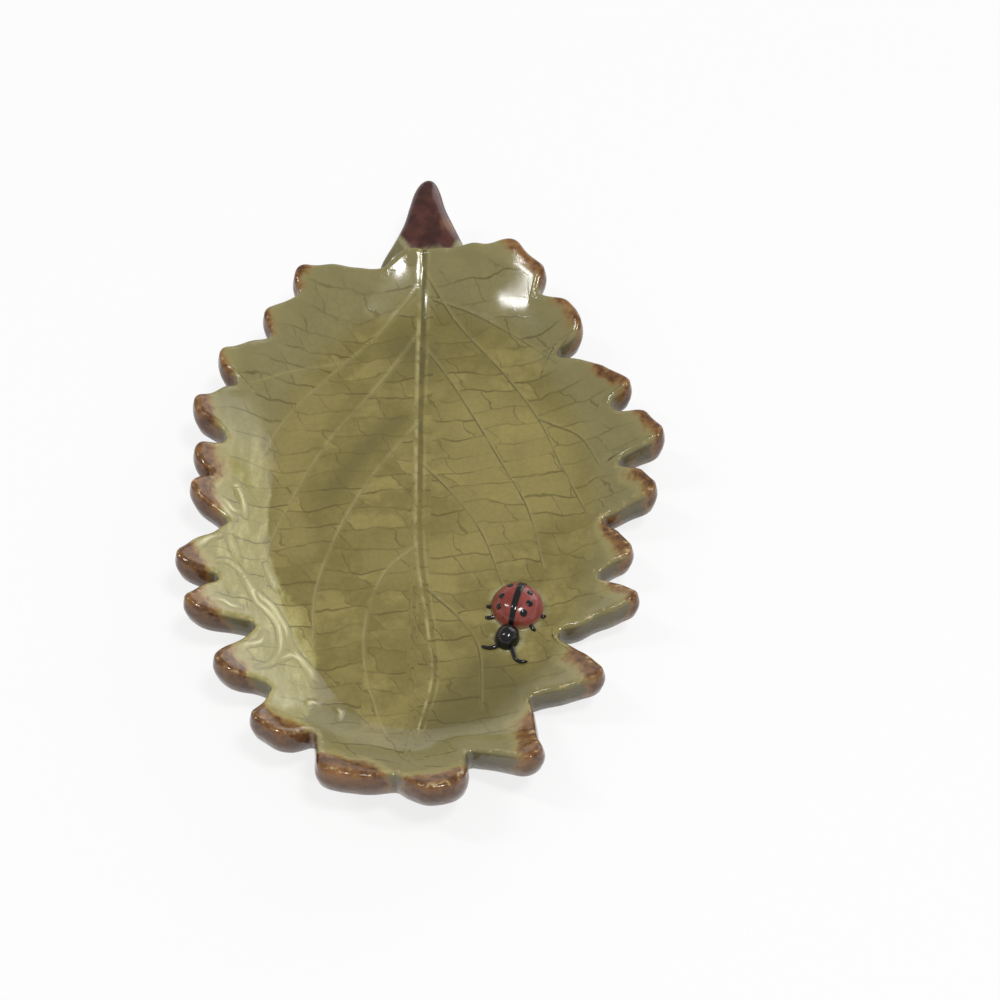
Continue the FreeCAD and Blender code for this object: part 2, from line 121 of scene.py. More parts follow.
# Threads of thick cream glaze have run together at the roots of the left teeth.
THREAD_SHARES = (
    ((-0.865, -0.24), (-0.81, -0.22), (-0.775, -0.225), (-0.74, -0.245), (-0.705, -0.29), (-0.675, -0.335),
     (-0.635, -0.36), (-0.595, -0.39), (-0.575, -0.425), (-0.565, -0.475), (-0.57, -0.515), (-0.595, -0.56),
     (-0.665, -0.60)),
    ((-0.725, -0.24), (-0.695, -0.285), (-0.66, -0.315), (-0.615, -0.34), (-0.57, -0.39), (-0.55, -0.42),
     (-0.54, -0.45), (-0.52, -0.48)),
    ((-0.655, -0.18), (-0.635, -0.22), (-0.605, -0.265), (-0.58, -0.28)),
    ((-0.585, -0.555), (-0.555, -0.53), (-0.52, -0.51), (-0.48, -0.525), (-0.455, -0.55), (-0.435, -0.58),
     (-0.42, -0.62)),
    ((-0.545, -0.46), (-0.495, -0.51), (-0.46, -0.54), (-0.425, -0.57), (-0.40, -0.61)),
    ((-0.86, 0.115), (-0.835, 0.09), (-0.80, 0.07), (-0.775, 0.045), (-0.76, 0.015), (-0.75, -0.02),
     (-0.75, -0.045)),
    ((-0.905, 0.01), (-0.88, 0.025), (-0.855, 0.06), (-0.84, 0.075), (-0.82, 0.075)),
    ((-0.905, 0.01), (-0.865, -0.005), (-0.835, -0.025), (-0.81, -0.045), (-0.775, -0.055)),
    ((-0.87, 0.005), (-0.825, -0.005), (-0.795, -0.025), (-0.76, -0.02)),
    ((-0.93, -0.225), (-0.91, -0.19), (-0.875, -0.155), (-0.825, -0.125)),
    ((-0.805, -0.115), (-0.79, -0.145), (-0.775, -0.175), (-0.755, -0.21)),
    ((-0.45, -0.69), (-0.425, -0.675), (-0.395, -0.68)),
    ((-0.34, -0.685), (-0.315, -0.695), (-0.32, -0.74)),
    ((-0.715, -0.555), (-0.70, -0.52), (-0.67, -0.505), (-0.64, -0.485), (-0.63, -0.44)),
    ((-0.855, -0.385), (-0.805, -0.37), (-0.765, -0.38), (-0.72, -0.375)),
)
THREAD_HALF_WIDTH = 0.50
THREAD_HEIGHT = 0.10
THREADS_END = -10.0                     # every thread lies further left

# The glaze has pooled darker in some places and lies thinner in others: each is a route, how far it spreads
# and how much darker it is. Left of a wavering line the glaze is cream.
POOL_SHARES = (
    (((-0.10, 0.66), (0.0, 0.56), (0.06, 0.50)), 6.0, 0.9),
    (((-0.12, 0.36), (-0.27, 0.24), (-0.40, 0.09), (-0.46, 0.02)), 3.6, 0.8),
    (((0.10, 0.80), (0.20, 0.72)), 6.0, 0.6),
    (((0.08, -0.73), (0.20, -0.63), (0.26, -0.56)), 5.5, 1.0),
    (((0.24, -0.68), (0.40, -0.62)), 4.5, 0.7),
    (((-0.07, -0.49), (-0.06, -0.46)), 4.5, 0.5),
    (((0.55, -0.10), (0.66, -0.22)), 4.0, 0.4),
    (((0.14, 0.44), (0.26, 0.34), (0.50, 0.26)), 8.0, -0.9),
    (((0.18, 0.14), (0.28, 0.06)), 6.5, -0.6),
    (((0.10, -0.17), (0.20, -0.12)), 5.5, -0.7),
    (((-0.12, -0.10), (-0.12, -0.22)), 4.5, -0.4),
    (((0.42, -0.02), (0.52, 0.08)), 7.0, -0.5),
    (((-0.48, 0.44), (-0.56, 0.30), (-0.58, 0.16)), 5.0, -0.6),
    (((-0.54, 0.02), (-0.55, -0.10)), 4.5, -0.8),
)
CREAM_SHARES = (
    (-0.45, -0.72), (-0.42, -0.58), (-0.42, -0.48), (-0.45, -0.39), (-0.52, -0.325), (-0.60, -0.235),
    (-0.655, -0.125), (-0.65, -0.02), (-0.67, 0.12), (-0.70, 0.25), (-0.71, 0.385), (-0.80, 0.50),
)

FLOOR_GRID = 220                        # floor quads along one side
WALL_ROWS = 30
EDGE_ROWS = 6
SIDE_ROWS = 3
FOOT_ROWS = 4
UNDER_ROWS = 3
BASE_ROWS = 2
ARC_STEPS = 13                          # points on a corner's arc, an odd number so that one is its middle
VEIN_STEPS = 10                         # points on one span of a vein, a thread or the cream line
THREAD_STEPS = 4
CREAM_STEPS = 6

# Beyond these distances the glaze takes no notice of a vein, the midrib, a flank, the rim or the ladybug.
VEIN_FAR = 9.0
MIDRIB_FAR = 4.0
FLANK_FAR = 2.0
RIM_FAR = 20.0
BUG_FAR = 9.0
EDGE_DOWN = 0.35                        # the edge's rounding, as a share of the way down the side


def rounded_outline(corners, radii, steps):
    """A closed outline whose corners are tangent arcs, with its outward normals and each arc's radius.

    An arc leaves each side at radius x tan(half the turn) from the corner, or nearer where the side is short,
    and its centre lies on the corner's bisector. The corners go round against the clock.
    """
    back = np.roll(corners, 1, 0) - corners
    ahead = np.roll(corners, -1, 0) - corners
    back_length = np.linalg.norm(back, axis=1)
    ahead_length = np.linalg.norm(ahead, axis=1)
    back /= back_length[:, None]
    ahead /= ahead_length[:, None]
    half_turn = (np.pi - np.arccos(np.clip((back * ahead).sum(1), -1, 1))) / 2
    reach = np.minimum(radii * np.tan(half_turn), SIDE_SHARE * np.minimum(back_length, ahead_length))
    radius = reach / np.tan(half_turn)
    inward = back + ahead
    inward /= np.linalg.norm(inward, axis=1)[:, None]
    centre = corners + inward * np.hypot(reach, radius)[:, None]
    first = corners + back * reach[:, None] - centre
    last = corners + ahead * reach[:, None] - centre
    start = np.arctan2(first[:, 1], first[:, 0])
    sweep = (np.arctan2(last[:, 1], last[:, 0]) - start + np.pi) % (2 * np.pi) - np.pi
    angle = start[:, None] + sweep[:, None] * np.linspace(0, 1, steps)
    spoke = np.stack([np.cos(angle), np.sin(angle)], -1)
    points = centre[:, None] + radius[:, None, None] * spoke
    normals = spoke * np.sign(sweep)[:, None, None]
    return points.reshape(-1, 2), normals.reshape(-1, 2), radius


def beyond_floor(points):
    """Distance outside the floor's oval: past the end arc beyond the line through both arcs' centres, else
    past the side arc. Both arcs are tangent where they meet."""
    end_centre = FLOOR_HALF_LENGTH - FLOOR_END_RADIUS
    spare = FLOOR_HALF_WIDTH - FLOOR_END_RADIUS
    side_centre = (end_centre**2 - spare**2) / (2 * spare)
    side_radius = FLOOR_HALF_WIDTH + side_centre
    across, along = np.abs(points[..., 0]), np.abs(points[..., 1])
    past_end = np.hypot(across, along - end_centre) - FLOOR_END_RADIUS
    past_side = np.hypot(across + side_centre, along) - side_radius
    return np.where(along * side_centre > end_centre * (across + side_centre), past_end, past_side)


def flare_height(distance, radius):
    """Height gained across the fold: a tangent arc of the radius that straddles the fold line, and past it an
    even slope."""
    travel = distance + radius * np.tan(FLARE / 2)
    on_arc = np.clip(travel, 0, radius * np.sin(FLARE))
    on_slope = np.maximum(travel - radius * np.sin(FLARE), 0)
    return radius - np.sqrt(radius**2 - on_arc**2) + on_slope * np.tan(FLARE)


def unevenness(points, height, wavelength, seed, waves=9):
    """A hand's unevenness, about as high and as deep as the height: a sum of cosine waves near one
    wavelength, each with a seeded direction, length and phase."""
    rng = np.random.default_rng(seed)
    heading = rng.uniform(0, 2 * np.pi, waves)
    pitch = 2 * np.pi / (wavelength * rng.uniform(0.7, 1.5, waves))
    phase = rng.uniform(0, 2 * np.pi, waves)
    travel = points[..., 0, None] * np.cos(heading) + points[..., 1, None] * np.sin(heading)
    return height * np.cos(travel * pitch + phase).sum(-1) / 4


def smooth_route(points, steps):
    """A smooth curve through given points: each span is a cubic, whose slope at a point is half the step
    between the point's two neighbours."""
    padded = np.vstack([2 * points[:1] - points[1:2], points, 2 * points[-1:] - points[-2:-1]])
    p0, p1, p2, p3 = padded[:-3, None], padded[1:-2, None], padded[2:-1, None], padded[3:, None]
    t = np.linspace(0, 1, steps, endpoint=False)[None, :, None]
    spans = 0.5 * (2 * p1 + (p2 - p0) * t + (2 * p0 - 5 * p1 + 4 * p2 - p3) * t**2
                   + (3 * p1 - p0 - 3 * p2 + p3) * t**3)
    return np.vstack([spans.reshape(-1, points.shape[1]), points[-1:]])


def distance_to_route(points, route):
    """Each point's distance to a polyline, the share of its length at the nearest place, and the point's side
    there: 1 on the left of its run, -1 on the right."""
    start, step = route[:-1], np.diff(route, axis=0)
    length_squared = (step**2).sum(1)
    offset = points[:, None] - start
    share = np.clip((offset * step).sum(2) / length_squared, 0, 1)
    gap = np.linalg.norm(offset - share[..., None] * step, axis=2)
    nearest = gap.argmin(1)
    rows = np.arange(len(points))
    away = offset[rows, nearest]
    side = np.sign(step[nearest, 0] * away[:, 1] - step[nearest, 1] * away[:, 0])
    return gap[rows, nearest], (nearest + share[rows, nearest]) / len(step), side


def ring_quads(rings):
    """Quads between neighbouring rows of vertex numbers, where each row runs once round."""
    turned = np.roll(rings, -1, 1)
    return np.stack([rings[:-1], rings[1:], turned[1:], turned[:-1]], -1).reshape(-1, 4)


def put_mesh(name, points, faces, layers=None):
    """A smooth-shaded mesh object from points in millimetres, with its number layers as point attributes."""
    mesh = bpy.data.meshes.new(name)
    mesh.from_pydata((points * MM).tolist(), [], faces)
    mesh.polygons.foreach_set("use_smooth", np.ones(len(mesh.polygons), bool))
    for layer, values in (layers or {}).items():
        mesh.attributes.new(layer, "FLOAT", "POINT").data.foreach_set("value", values.astype(np.float32))
    mesh.validate()
    piece = bpy.data.objects.new(name, mesh)
    bpy.context.scene.collection.objects.link(piece)
    return piece


# The floor's grid is a square wrapped onto a disc, ring by ring, so that it has no pole.
ticks = np.linspace(-1, 1, FLOOR_GRID + 1)
side_a, side_b = np.meshgrid(ticks, ticks, indexing="ij")
wide = np.abs(side_a) > np.abs(side_b)
reach = np.where(wide, side_a, side_b)
other = np.where(wide, side_b, side_a)
fraction = np.divide(other, reach, out=np.zeros_like(reach), where=reach != 0)
turn = np.where(wide, np.pi / 4 * fraction, np.pi / 2 - np.pi / 4 * fraction)
disc = np.stack([reach * np.cos(turn), reach * np.sin(turn)], -1).reshape(-1, 2)
floor_plan = disc * (FLOOR_HALF_WIDTH, FLOOR_HALF_LENGTH)
numbers = np.arange((FLOOR_GRID + 1) ** 2).reshape(FLOOR_GRID + 1, FLOOR_GRID + 1)
floor_quads = np.stack([numbers[:-1, :-1], numbers[1:, :-1], numbers[1:, 1:], numbers[:-1, 1:]], -1)
border = np.concatenate([numbers[-1, :-1], numbers[:0:-1, -1], numbers[0, :0:-1], numbers[:-1, 0]])
around = len(border)

# The cut outline is walked in step with the floor's border, tooth by tooth, from notch to notch.
corners = np.array(TOOTH_SHARES).reshape(-1, 2) * LEAF_HALF
wanted_radii = np.tile(CUT_RADII, len(TOOTH_SHARES))
cut_line, cut_normal, corner_radius = rounded_outline(corners, wanted_radii, ARC_STEPS)
closed_line = np.vstack([cut_line, cut_line[:1]])
run = np.concatenate([[0], np.cumsum(np.linalg.norm(np.diff(closed_line, axis=0), axis=1))])
total_run = run[-1]
middles = np.arange(len(corners)) * ARC_STEPS + ARC_STEPS // 2
arc_middles = run[middles].reshape(-1, 3)
notch = cut_line[middles[2::3]] / (FLOOR_HALF_WIDTH, FLOOR_HALF_LENGTH)
notch_turn = np.unwrap(np.arctan2(notch[:, 1], notch[:, 0]))
border_turn = np.unwrap(np.arctan2(disc[border, 1], disc[border, 0]))
laps = np.arange(-1, 3)[:, None]
border_run = np.interp(border_turn, (notch_turn + 2 * np.pi * laps).ravel(),
                       (arc_middles[:, 2] + total_run * laps).ravel()) % total_run
edge = np.stack([np.interp(border_run, run, closed_line[:, axis]) for axis in (0, 1)], -1)
closed_normal = np.vstack([cut_normal, cut_normal[:1]])
edge_normal = np.stack([np.interp(border_run, run, closed_normal[:, axis]) for axis in (0, 1)], -1)
edge_normal /= np.linalg.norm(edge_normal, axis=1)[:, None]
edge += edge_normal * unevenness(edge, *CUT_WAVE)[:, None]
corner_round = np.clip(TOOTH_ROUND_SHARE * corner_radius, *TOOTH_ROUND_LIMITS)
corner_round[2::3] = NOTCH_ROUND
top_round = np.interp(border_run, arc_middles.ravel(), corner_round, period=total_run)

# Rows from the floor's border out to the rim, over the rounded edge, down the cut side, and in below.
wall_share = np.linspace(0, 1, WALL_ROWS + 1)[1:, None, None]
wall_plan = floor_plan[border] * (1 - wall_share) + (edge - edge_normal * top_round[:, None]) * wall_share
edge_angle = np.linspace(0, np.pi / 2, EDGE_ROWS + 1)[1:, None]
edge_plan = edge - edge_normal * (top_round * (1 - np.sin(edge_angle)))[..., None]
edge_drop = top_round * (1 - np.cos(edge_angle))
side_share = np.linspace(0, 1, SIDE_ROWS + 2)[1:, None, None]
side_plan = edge + edge_normal * SIDE_BULGE * np.sin(np.pi * side_share)
foot_angle = np.linspace(0, np.pi / 2, FOOT_ROWS + 1)[1:, None, None]
foot_plan = edge - edge_normal * FOOT_ROUND * (1 - np.cos(foot_angle))
under_share = np.linspace(0, 1, UNDER_ROWS + 1)[1:, None, None]
under_plan = foot_plan[-1] * (1 - under_share) + floor_plan[border] * under_share
base_share = np.linspace(1, 0, BASE_ROWS + 1)[1:-1, None, None]
base_plan = floor_plan[border] * base_share


def top_height(points):
    """Height of the slab's upper face: its thickness and the flare, less the wall's half-sine hollow, and a
    hand's unevenness that grows up the wall."""
    distance = beyond_floor(points)
    hollow = WALL_BOW * np.sin(np.pi * np.clip(distance / WALL_WIDTH, 0, 1))
    wobble = sum(unevenness(points, *wave) for wave in FLOOR_WAVES)
    wobble = wobble + np.clip(distance / WALL_WAVE_START, 0, 1) * unevenness(points, *WALL_WAVE)
    return SLAB + flare_height(distance, FOLD_RADIUS) - hollow + wobble


def under_height(points):
    """Height of the slab's lower face: flat to the fold, which lies further out by the slab's thickness times
    the tangent of half the flare."""
    distance = beyond_floor(points) - SLAB * np.tan(FLARE / 2)
    return flare_height(distance, FOLD_RADIUS + SLAB)


top_plan = np.vstack([floor_plan, wall_plan.reshape(-1, 2), edge_plan.reshape(-1, 2)])
drop = np.concatenate([np.zeros(len(floor_plan) + wall_plan[..., 0].size), edge_drop.ravel()])
top_z = top_height(top_plan) - drop

# Each vein is sunk into the face. A place's panel counts the veins from the midrib that pass above it.
vein_gap = np.full(len(top_plan), VEIN_FAR)
flank_gap = np.zeros(len(top_plan))
panel_count = np.zeros(len(top_plan))
for order, shares in enumerate(VEIN_SHARES):
    route = smooth_route(np.array(shares) * LEAF_HALF, VEIN_STEPS)
    gap, share, hand = distance_to_route(top_plan, route)
    root_half, end_half = MIDRIB_HALF_WIDTHS if order == 0 else VEIN_HALF_WIDTHS
    gap /= root_half + (end_half - root_half) * share
    top_z -= (MIDRIB_DEPTH if order == 0 else VEIN_DEPTH) * (1 - VEIN_FADE * share) * np.exp(-gap**2)
    if order == 0:
        midrib_gap = hand * np.minimum(gap, MIDRIB_FAR)
        continue
    outwards = np.sign(route[-1, 0])
    flank_gap = np.where(gap < vein_gap, -outwards * hand * np.minimum(gap, FLANK_FAR), flank_gap)
    vein_gap = np.minimum(vein_gap, gap)
    if abs(route[0, 0]) < ROOT_NEAR:
        reached = np.maximum.accumulate(route[:, 0] * outwards)
        below = top_plan[:, 1] < np.interp(top_plan[:, 0] * outwards, reached, route[:, 1])
        panel_count += below & (top_plan[:, 0] * outwards > reached[0])

thread_rise = np.zeros(len(top_plan))
left_part = top_plan[:, 0] < THREADS_END
for shares in THREAD_SHARES:
    route = smooth_route(np.array(shares) * LEAF_HALF, THREAD_STEPS)
    gap, share, _ = distance_to_route(top_plan[left_part], route)
    rise = np.sqrt(np.sin(np.pi * share)) * np.exp(-((gap / THREAD_HALF_WIDTH) ** 2))
    thread_rise[left_part] = np.maximum(thread_rise[left_part], rise)
top_z += THREAD_HEIGHT * thread_rise

pool_depth = np.zeros(len(top_plan))
for shares, spread, darker in POOL_SHARES:
    gap = distance_to_route(top_plan, np.array(shares) * LEAF_HALF)[0]
    pool_depth += darker * np.exp(-((gap / spread) ** 2))

# The cut side goes down from a brow under the rounded edge to a heel over the foot's rounding.
brow = top_height(edge) - top_round
heel = under_height(edge) + FOOT_ROUND
side_z = brow + (heel - brow) * side_share[..., 0]
foot_z = heel - FOOT_ROUND * np.sin(foot_angle[..., 0])
low_plan = np.vstack([side_plan.reshape(-1, 2), foot_plan.reshape(-1, 2), under_plan.reshape(-1, 2),
                      base_plan.reshape(-1, 2), np.zeros((1, 2))])
low_z = np.concatenate([side_z.ravel(), foot_z.ravel(), under_height(under_plan).ravel(),
                        np.zeros(base_plan[..., 0].size + 1)])
leaf_points = np.column_stack([np.vstack([top_plan, low_plan]), np.concatenate([top_z, low_z])])

ring_count = (len(leaf_points) - len(floor_plan) - 1) // around
rings = np.vstack([border, len(floor_plan) + np.arange(ring_count * around).reshape(ring_count, around)])
centre = np.full(around, len(leaf_points) - 1)
fan = np.stack([rings[-1], centre, np.roll(rings[-1], -1)], -1)
leaf_faces = np.vstack([floor_quads.reshape(-1, 4), ring_quads(rings)]).tolist() + fan.tolist()

# The glaze follows measures in millimetres from the veins, cut edge, tooth crests, floor, cream line and
# ladybug, the threads and pools, and how far down the side a place is: 1 at its foot and 2 underneath. A
# crest runs from a tooth's tip to its shoulder. The stem's ledge has none.
lower = len(low_plan)
inset = np.linalg.norm(edge - wall_plan, axis=-1)
edge_inset = np.linalg.norm(edge - edge_plan, axis=-1)
crest = corners.reshape(-1, 3, 2)[:-1, :2]
crest_step = crest[:, 1] - crest[:, 0]
crest_offset = leaf_points[:, None, :2] - crest[:, 0]
crest_share = np.clip((crest_offset * crest_step).sum(2) / (crest_step**2).sum(1), 0, 1)
crest_gap = np.linalg.norm(crest_offset - crest_share[..., None] * crest_step, axis=2).min(1)
cream_line = smooth_route(np.array(CREAM_SHARES) * LEAF_HALF, CREAM_STEPS)
bug_gap = np.full(len(top_plan), BUG_FAR)
for node in ("ladybug_shell", "ladybug_head"):
    low, high = (np.array(corner[:2]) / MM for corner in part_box(node))
    node_radius = (high - low).min() / 2
    bug_gap = np.minimum(bug_gap, np.linalg.norm(top_plan - (low + high) / 2, axis=1) - node_radius)
over_edge = np.repeat(EDGE_DOWN * (1 - np.cos(edge_angle.ravel())), around)
down = np.full(lower, 2.0)
down[:side_share.size * around] = np.repeat(EDGE_DOWN + (1 - EDGE_DOWN) * side_share.ravel(), around)
down[side_share.size * around:(side_share.size + FOOT_ROWS) * around] = 1.0
leaf_layers = {
    "midrib": np.concatenate([midrib_gap, np.full(lower, MIDRIB_FAR)]),
    "vein": np.concatenate([vein_gap, np.full(lower, VEIN_FAR)]),
    "flank": np.concatenate([flank_gap, np.zeros(lower)]),
    "panel": np.concatenate([panel_count, np.zeros(lower)]),
    "thread": np.concatenate([thread_rise, np.zeros(lower)]),
    "pool": np.concatenate([pool_depth, np.zeros(lower)]),
    "rim": np.concatenate([np.full(len(floor_plan), RIM_FAR), inset.ravel(), edge_inset.ravel(),
                           np.zeros(lower)]),
    "crest": crest_gap,
    "side": np.concatenate([np.zeros(len(top_plan) - edge_drop.size), over_edge, down]),
    "wall": beyond_floor(leaf_points[:, :2]),
    "cream": np.interp(leaf_points[:, 1], cream_line[:, 1], cream_line[:, 0]) - leaf_points[:, 0],
    "bug": np.concatenate([bug_gap, np.full(lower, BUG_FAR)]),
}
leaf = put_mesh("leaf_dish_glazed", leaf_points, leaf_faces, leaf_layers)


def linear(red, green, blue):
    """A colour as seen on a screen, 0 to 255, as the light values that a shader takes."""
    screen = np.array([red, green, blue]) / 255
    light = np.where(screen <= 0.04045, screen / 12.92, ((screen + 0.055) / 1.055) ** 2.4)
    return (*light.tolist(), 1.0)


def new_finish(name, **constants):
    """A material whose principled shader holds the constants in its named sockets, its tree and shader."""
    finish = bpy.data.materials.new(name)
    finish.use_nodes = True
    shader = finish.node_tree.nodes["Principled BSDF"]
    for socket, value in constants.items():
        shader.inputs[socket.replace("_", " ")].default_value = value
    return finish, finish.node_tree, shader


def add_node(tree, kind, inputs=(), **settings):
    """A node with its settings, and each numbered or named input set to a value or linked from a socket."""
    made = tree.nodes.new("ShaderNode" + kind)
    for setting, value in settings.items():
        setattr(made, setting, value)
    for socket, value in dict(inputs).items():
        if isinstance(value, bpy.types.NodeSocket):
            tree.links.new(value, made.inputs[socket])
        else:
            made.inputs[socket].default_value = value
    return made


def layer(tree, name):
    """A point attribute of the mesh as a number."""
    return add_node(tree, "Attribute", attribute_name=name).outputs["Fac"]


# The helpers from here on work in the node tree that their first number or place belongs to.
def ramp(value, low, high, to_low=0.0, to_high=1.0):
    """A smooth step of a number from one range to another."""
    return add_node(value.id_data, "MapRange", {0: value, 1: low, 2: high, 3: to_low, 4: to_high},
                    interpolation_type="SMOOTHSTEP").outputs[0]


def maths(operation, first, second=0.0):
    """Two numbers joined by one operation."""
    return add_node(first.id_data, "Math", {0: first, 1: second}, operation=operation).outputs[0]


def product(first, *others):
    """Numbers multiplied together."""
    for other in others:
        first = maths("MULTIPLY", first, other)
    return first


def blend(share, under, over):
    """One colour laid over another by a share."""
    return add_node(share.id_data, "Mix", {0: share, 6: under, 7: over}, data_type="RGBA").outputs[2]


def cloud(place, size, detail=3.0, rough=0.55):
    """Soft noise, 0 to 1, whose patches are about one size across, in metres."""
    return add_node(place.id_data, "TexNoise", {"Vector": place, "Scale": 1 / size, "Detail": detail,
                                                "Roughness": rough}).outputs["Fac"]


def drawn(number):
    """A number from 0 to 1, drawn at random for each whole number and the same wherever that one comes up."""
    return add_node(number.id_data, "TexWhiteNoise", {"W": number}, noise_dimensions="1D").outputs["Value"]


def line(value, half_width, softness):
    """A thin line wherever a number passes a half between whole numbers: 1 on the line and 0 beside it."""
    away = maths("ABSOLUTE", maths("SUBTRACT", maths("FRACT", value), 0.5))
    return ramp(away, half_width, half_width + softness, 1.0, 0.0)


def sum_of(*terms):
    """Numbers times their weights, added up: each term is a number and its weight."""
    total = 0.0
    for value, weight in terms:
        added = add_node(value.id_data, "Math", {0: value, 1: weight, 2: total}, operation="MULTIPLY_ADD")
        total = added.outputs[0]
    return total


OLIVE_DEEP, OLIVE_PALE = linear(130, 119, 67), linear(155, 142, 84)
OLIVE_PATCH, OLIVE_MOTTLE = linear(146, 134, 80), linear(116, 106, 58)
OLIVE_POOLED, OLIVE_THIN, WALL_GREY_REFLECTION = linear(101, 93, 53), linear(158, 145, 88), linear(141, 134, 94)
CREAM_SHADE, CREAM_LIGHT = linear(166, 157, 93), linear(198, 190, 128)
THREAD_SHADOW, THREAD_CROWN = linear(118, 108, 66), linear(218, 212, 164)
NET_DARK, RUNG_DARK = linear(92, 84, 46), linear(88, 79, 40)
VEIN_PALE, VEIN_DARK = linear(160, 150, 99), linear(92, 84, 45)
MIDRIB_EDGE_HIGHLIGHT, GROOVE_POOL_AND_SHADE = linear(170, 160, 108), linear(98, 90, 50)
HALO_PALE = linear(170, 170, 128)
SIDE_SHADE, SIDE_FOXED = linear(110, 103, 78), linear(74, 58, 42)
FRINGE_CREAM, EDGE_TAN, CREST_GLINT_PALE = linear(172, 160, 106), linear(154, 106, 54), linear(196, 176, 130)
RUST_DARK, RUST_LIGHT = linear(88, 56, 33), linear(128, 88, 50)
RUST_PALE, RUST_SIDE = linear(148, 104, 60), linear(76, 50, 34)
CLAY_DARK, CLAY_PALE = linear(172, 142, 108), linear(196, 170, 138)
RUNG_PITCH = 0.0042
LINK_PITCH = 0.0105
leaf_glaze, tree, shader = new_finish("leaf_glaze", IOR=1.5)
place = add_node(tree, "TexCoord").outputs["Object"]
axes = add_node(tree, "SeparateXYZ", {0: place}).outputs
patches = cloud(place, 0.020)
mottle = cloud(place, 0.006, 5.0, 0.62)
grain = cloud(place, 0.0012, 3.0)
midrib, vein, flank, panel = (layer(tree, name) for name in ("midrib", "vein", "flank", "panel"))
thread, pool, rim, crest_near = (layer(tree, name) for name in ("thread", "pool", "rim", "crest"))
side, wall, cream, bug = (layer(tree, name) for name in ("side", "wall", "cream", "bug"))

# Rungs of small veins cross each panel between two main veins, some of them faint, with a few links between.
sway = cloud(place, 0.016, 2.0)
waver = cloud(place, 0.0034, 2.0)
rung = sum_of((axes["Y"], 1 / RUNG_PITCH), (axes["X"], -0.10 / RUNG_PITCH), (panel, 0.39), (sway, 1.7),
              (waver, 0.40))
rung_strength = drawn(sum_of((maths("FLOOR", rung), 1.0), (panel, 17.0)))
cell = drawn(maths("FLOOR", maths("ADD", rung, 0.5)))
link = sum_of((axes["X"], 1 / LINK_PITCH), (axes["Y"], 60.0), (cell, 5.0), (waver, 0.35), (sway, 0.8))
link_number = maths("FLOOR", maths("ADD", link, 0.5))
areole = drawn(sum_of((link_number, 1.0), (cell, 37.0), (panel, 11.0)))
net = add_node(tree, "TexVoronoi", {"Vector": place, "Scale": 620.0}, feature="DISTANCE_TO_EDGE",
               voronoi_dimensions="2D").outputs["Distance"]
pressed = product(ramp(rim, 2.0, 6.0), ramp(thread, 0.02, 0.30, 1.0, 0.0))
broken = ramp(cloud(place, 0.007), 0.38, 0.56, 0.40, 1.0)
rung_line = product(line(rung, 0.024, 0.045), ramp(rung_strength, 0.1, 0.7, 0.40, 1.0))
link_line = product(line(link, 0.009, 0.016), 0.75)
small_veins = product(maths("MAXIMUM", rung_line, link_line), broken, pressed)
net_line = product(ramp(net, 0.02, 0.12, 1.0, 0.0), pressed)

# Olive over the clay, a little different in each cell of the net, darker in the pools, and greyer up the
# wall, where the grey is a painted reflection of the room.
colour = blend(ramp(areole, 0.0, 1.0), OLIVE_DEEP, OLIVE_PALE)
colour = blend(ramp(patches, 0.40, 0.62, 0.0, 0.5), colour, OLIVE_PATCH)
colour = blend(ramp(mottle, 0.38, 0.62, 0.65, 0.0), colour, OLIVE_MOTTLE)
pooled = sum_of((pool, 1.0), (mottle, 1.8), (areole, 0.25))
colour = blend(ramp(pooled, 1.20, 2.10, 0.0, 0.75), colour, OLIVE_POOLED)
colour = blend(ramp(pooled, 0.85, 0.25, 0.0, 0.5), colour, OLIVE_THIN)
colour = blend(ramp(wall, 0.5, 7.0, 0.0, 0.65), colour, WALL_GREY_REFLECTION)

# Cream where the glaze lies thick on the left wall, in streaks, with paler threads, each edged by a painted
# shadow. Over it run the small veins and the fine net.
cream_edge = sum_of((cream, 1.0), (mottle, 5.0))
creamy = product(ramp(cream_edge, 1.9, 3.1), ramp(axes["Y"], 0.004, 0.026, 1.0, 0.10),
                 ramp(wall, -3.0, 0.5), ramp(mottle, 0.30, 0.60, 0.95, 0.60))
streak_place = add_node(tree, "Mapping", {"Vector": place, "Scale": (1.0, 0.25, 1.0)}).outputs[0]
streaks = cloud(streak_place, 0.0022, 4.0, 0.6)
cream_colour = blend(ramp(streaks, 0.42, 0.66), CREAM_SHADE, CREAM_LIGHT)
colour = blend(creamy, colour, cream_colour)
# A painted shadow along both edges of each thread.
thread_shadow = product(ramp(thread, 0.004, 0.06), ramp(thread, 0.10, 0.40, 1.0, 0.0),
               ramp(streaks, 0.40, 0.58, 0.1, 0.7))
colour = blend(thread_shadow, colour, THREAD_SHADOW)
strand = product(ramp(thread, 0.50, 0.95), ramp(mottle, 0.36, 0.58, 0.40, 1.0))
colour = blend(strand, colour, THREAD_CROWN)
colour = blend(product(net_line, 0.12), colour, NET_DARK)
colour = blend(product(small_veins, 0.66), colour, RUNG_DARK)

# A side vein is a soft paler band, plainer left of the midrib, with a dark line along one flank, plainer on
# the right.
on_right = ramp(axes["X"], -0.004, 0.003)
fading = ramp(cloud(place, 0.0055), 0.34, 0.60, 0.35, 1.0)
band = product(ramp(vein, 0.2, 2.1, 1.0, 0.0), ramp(on_right, 0.0, 1.0, 0.62, 0.30), fading)
dark_side = ramp(on_right, 0.0, 1.0, 0.30, 0.80)
dark_flank = product(ramp(vein, 0.6, 1.6, 1.0, 0.0), ramp(flank, -0.2, 0.5), dark_side, fading)
colour = blend(band, colour, VEIN_PALE)
colour = blend(dark_flank, colour, VEIN_DARK)
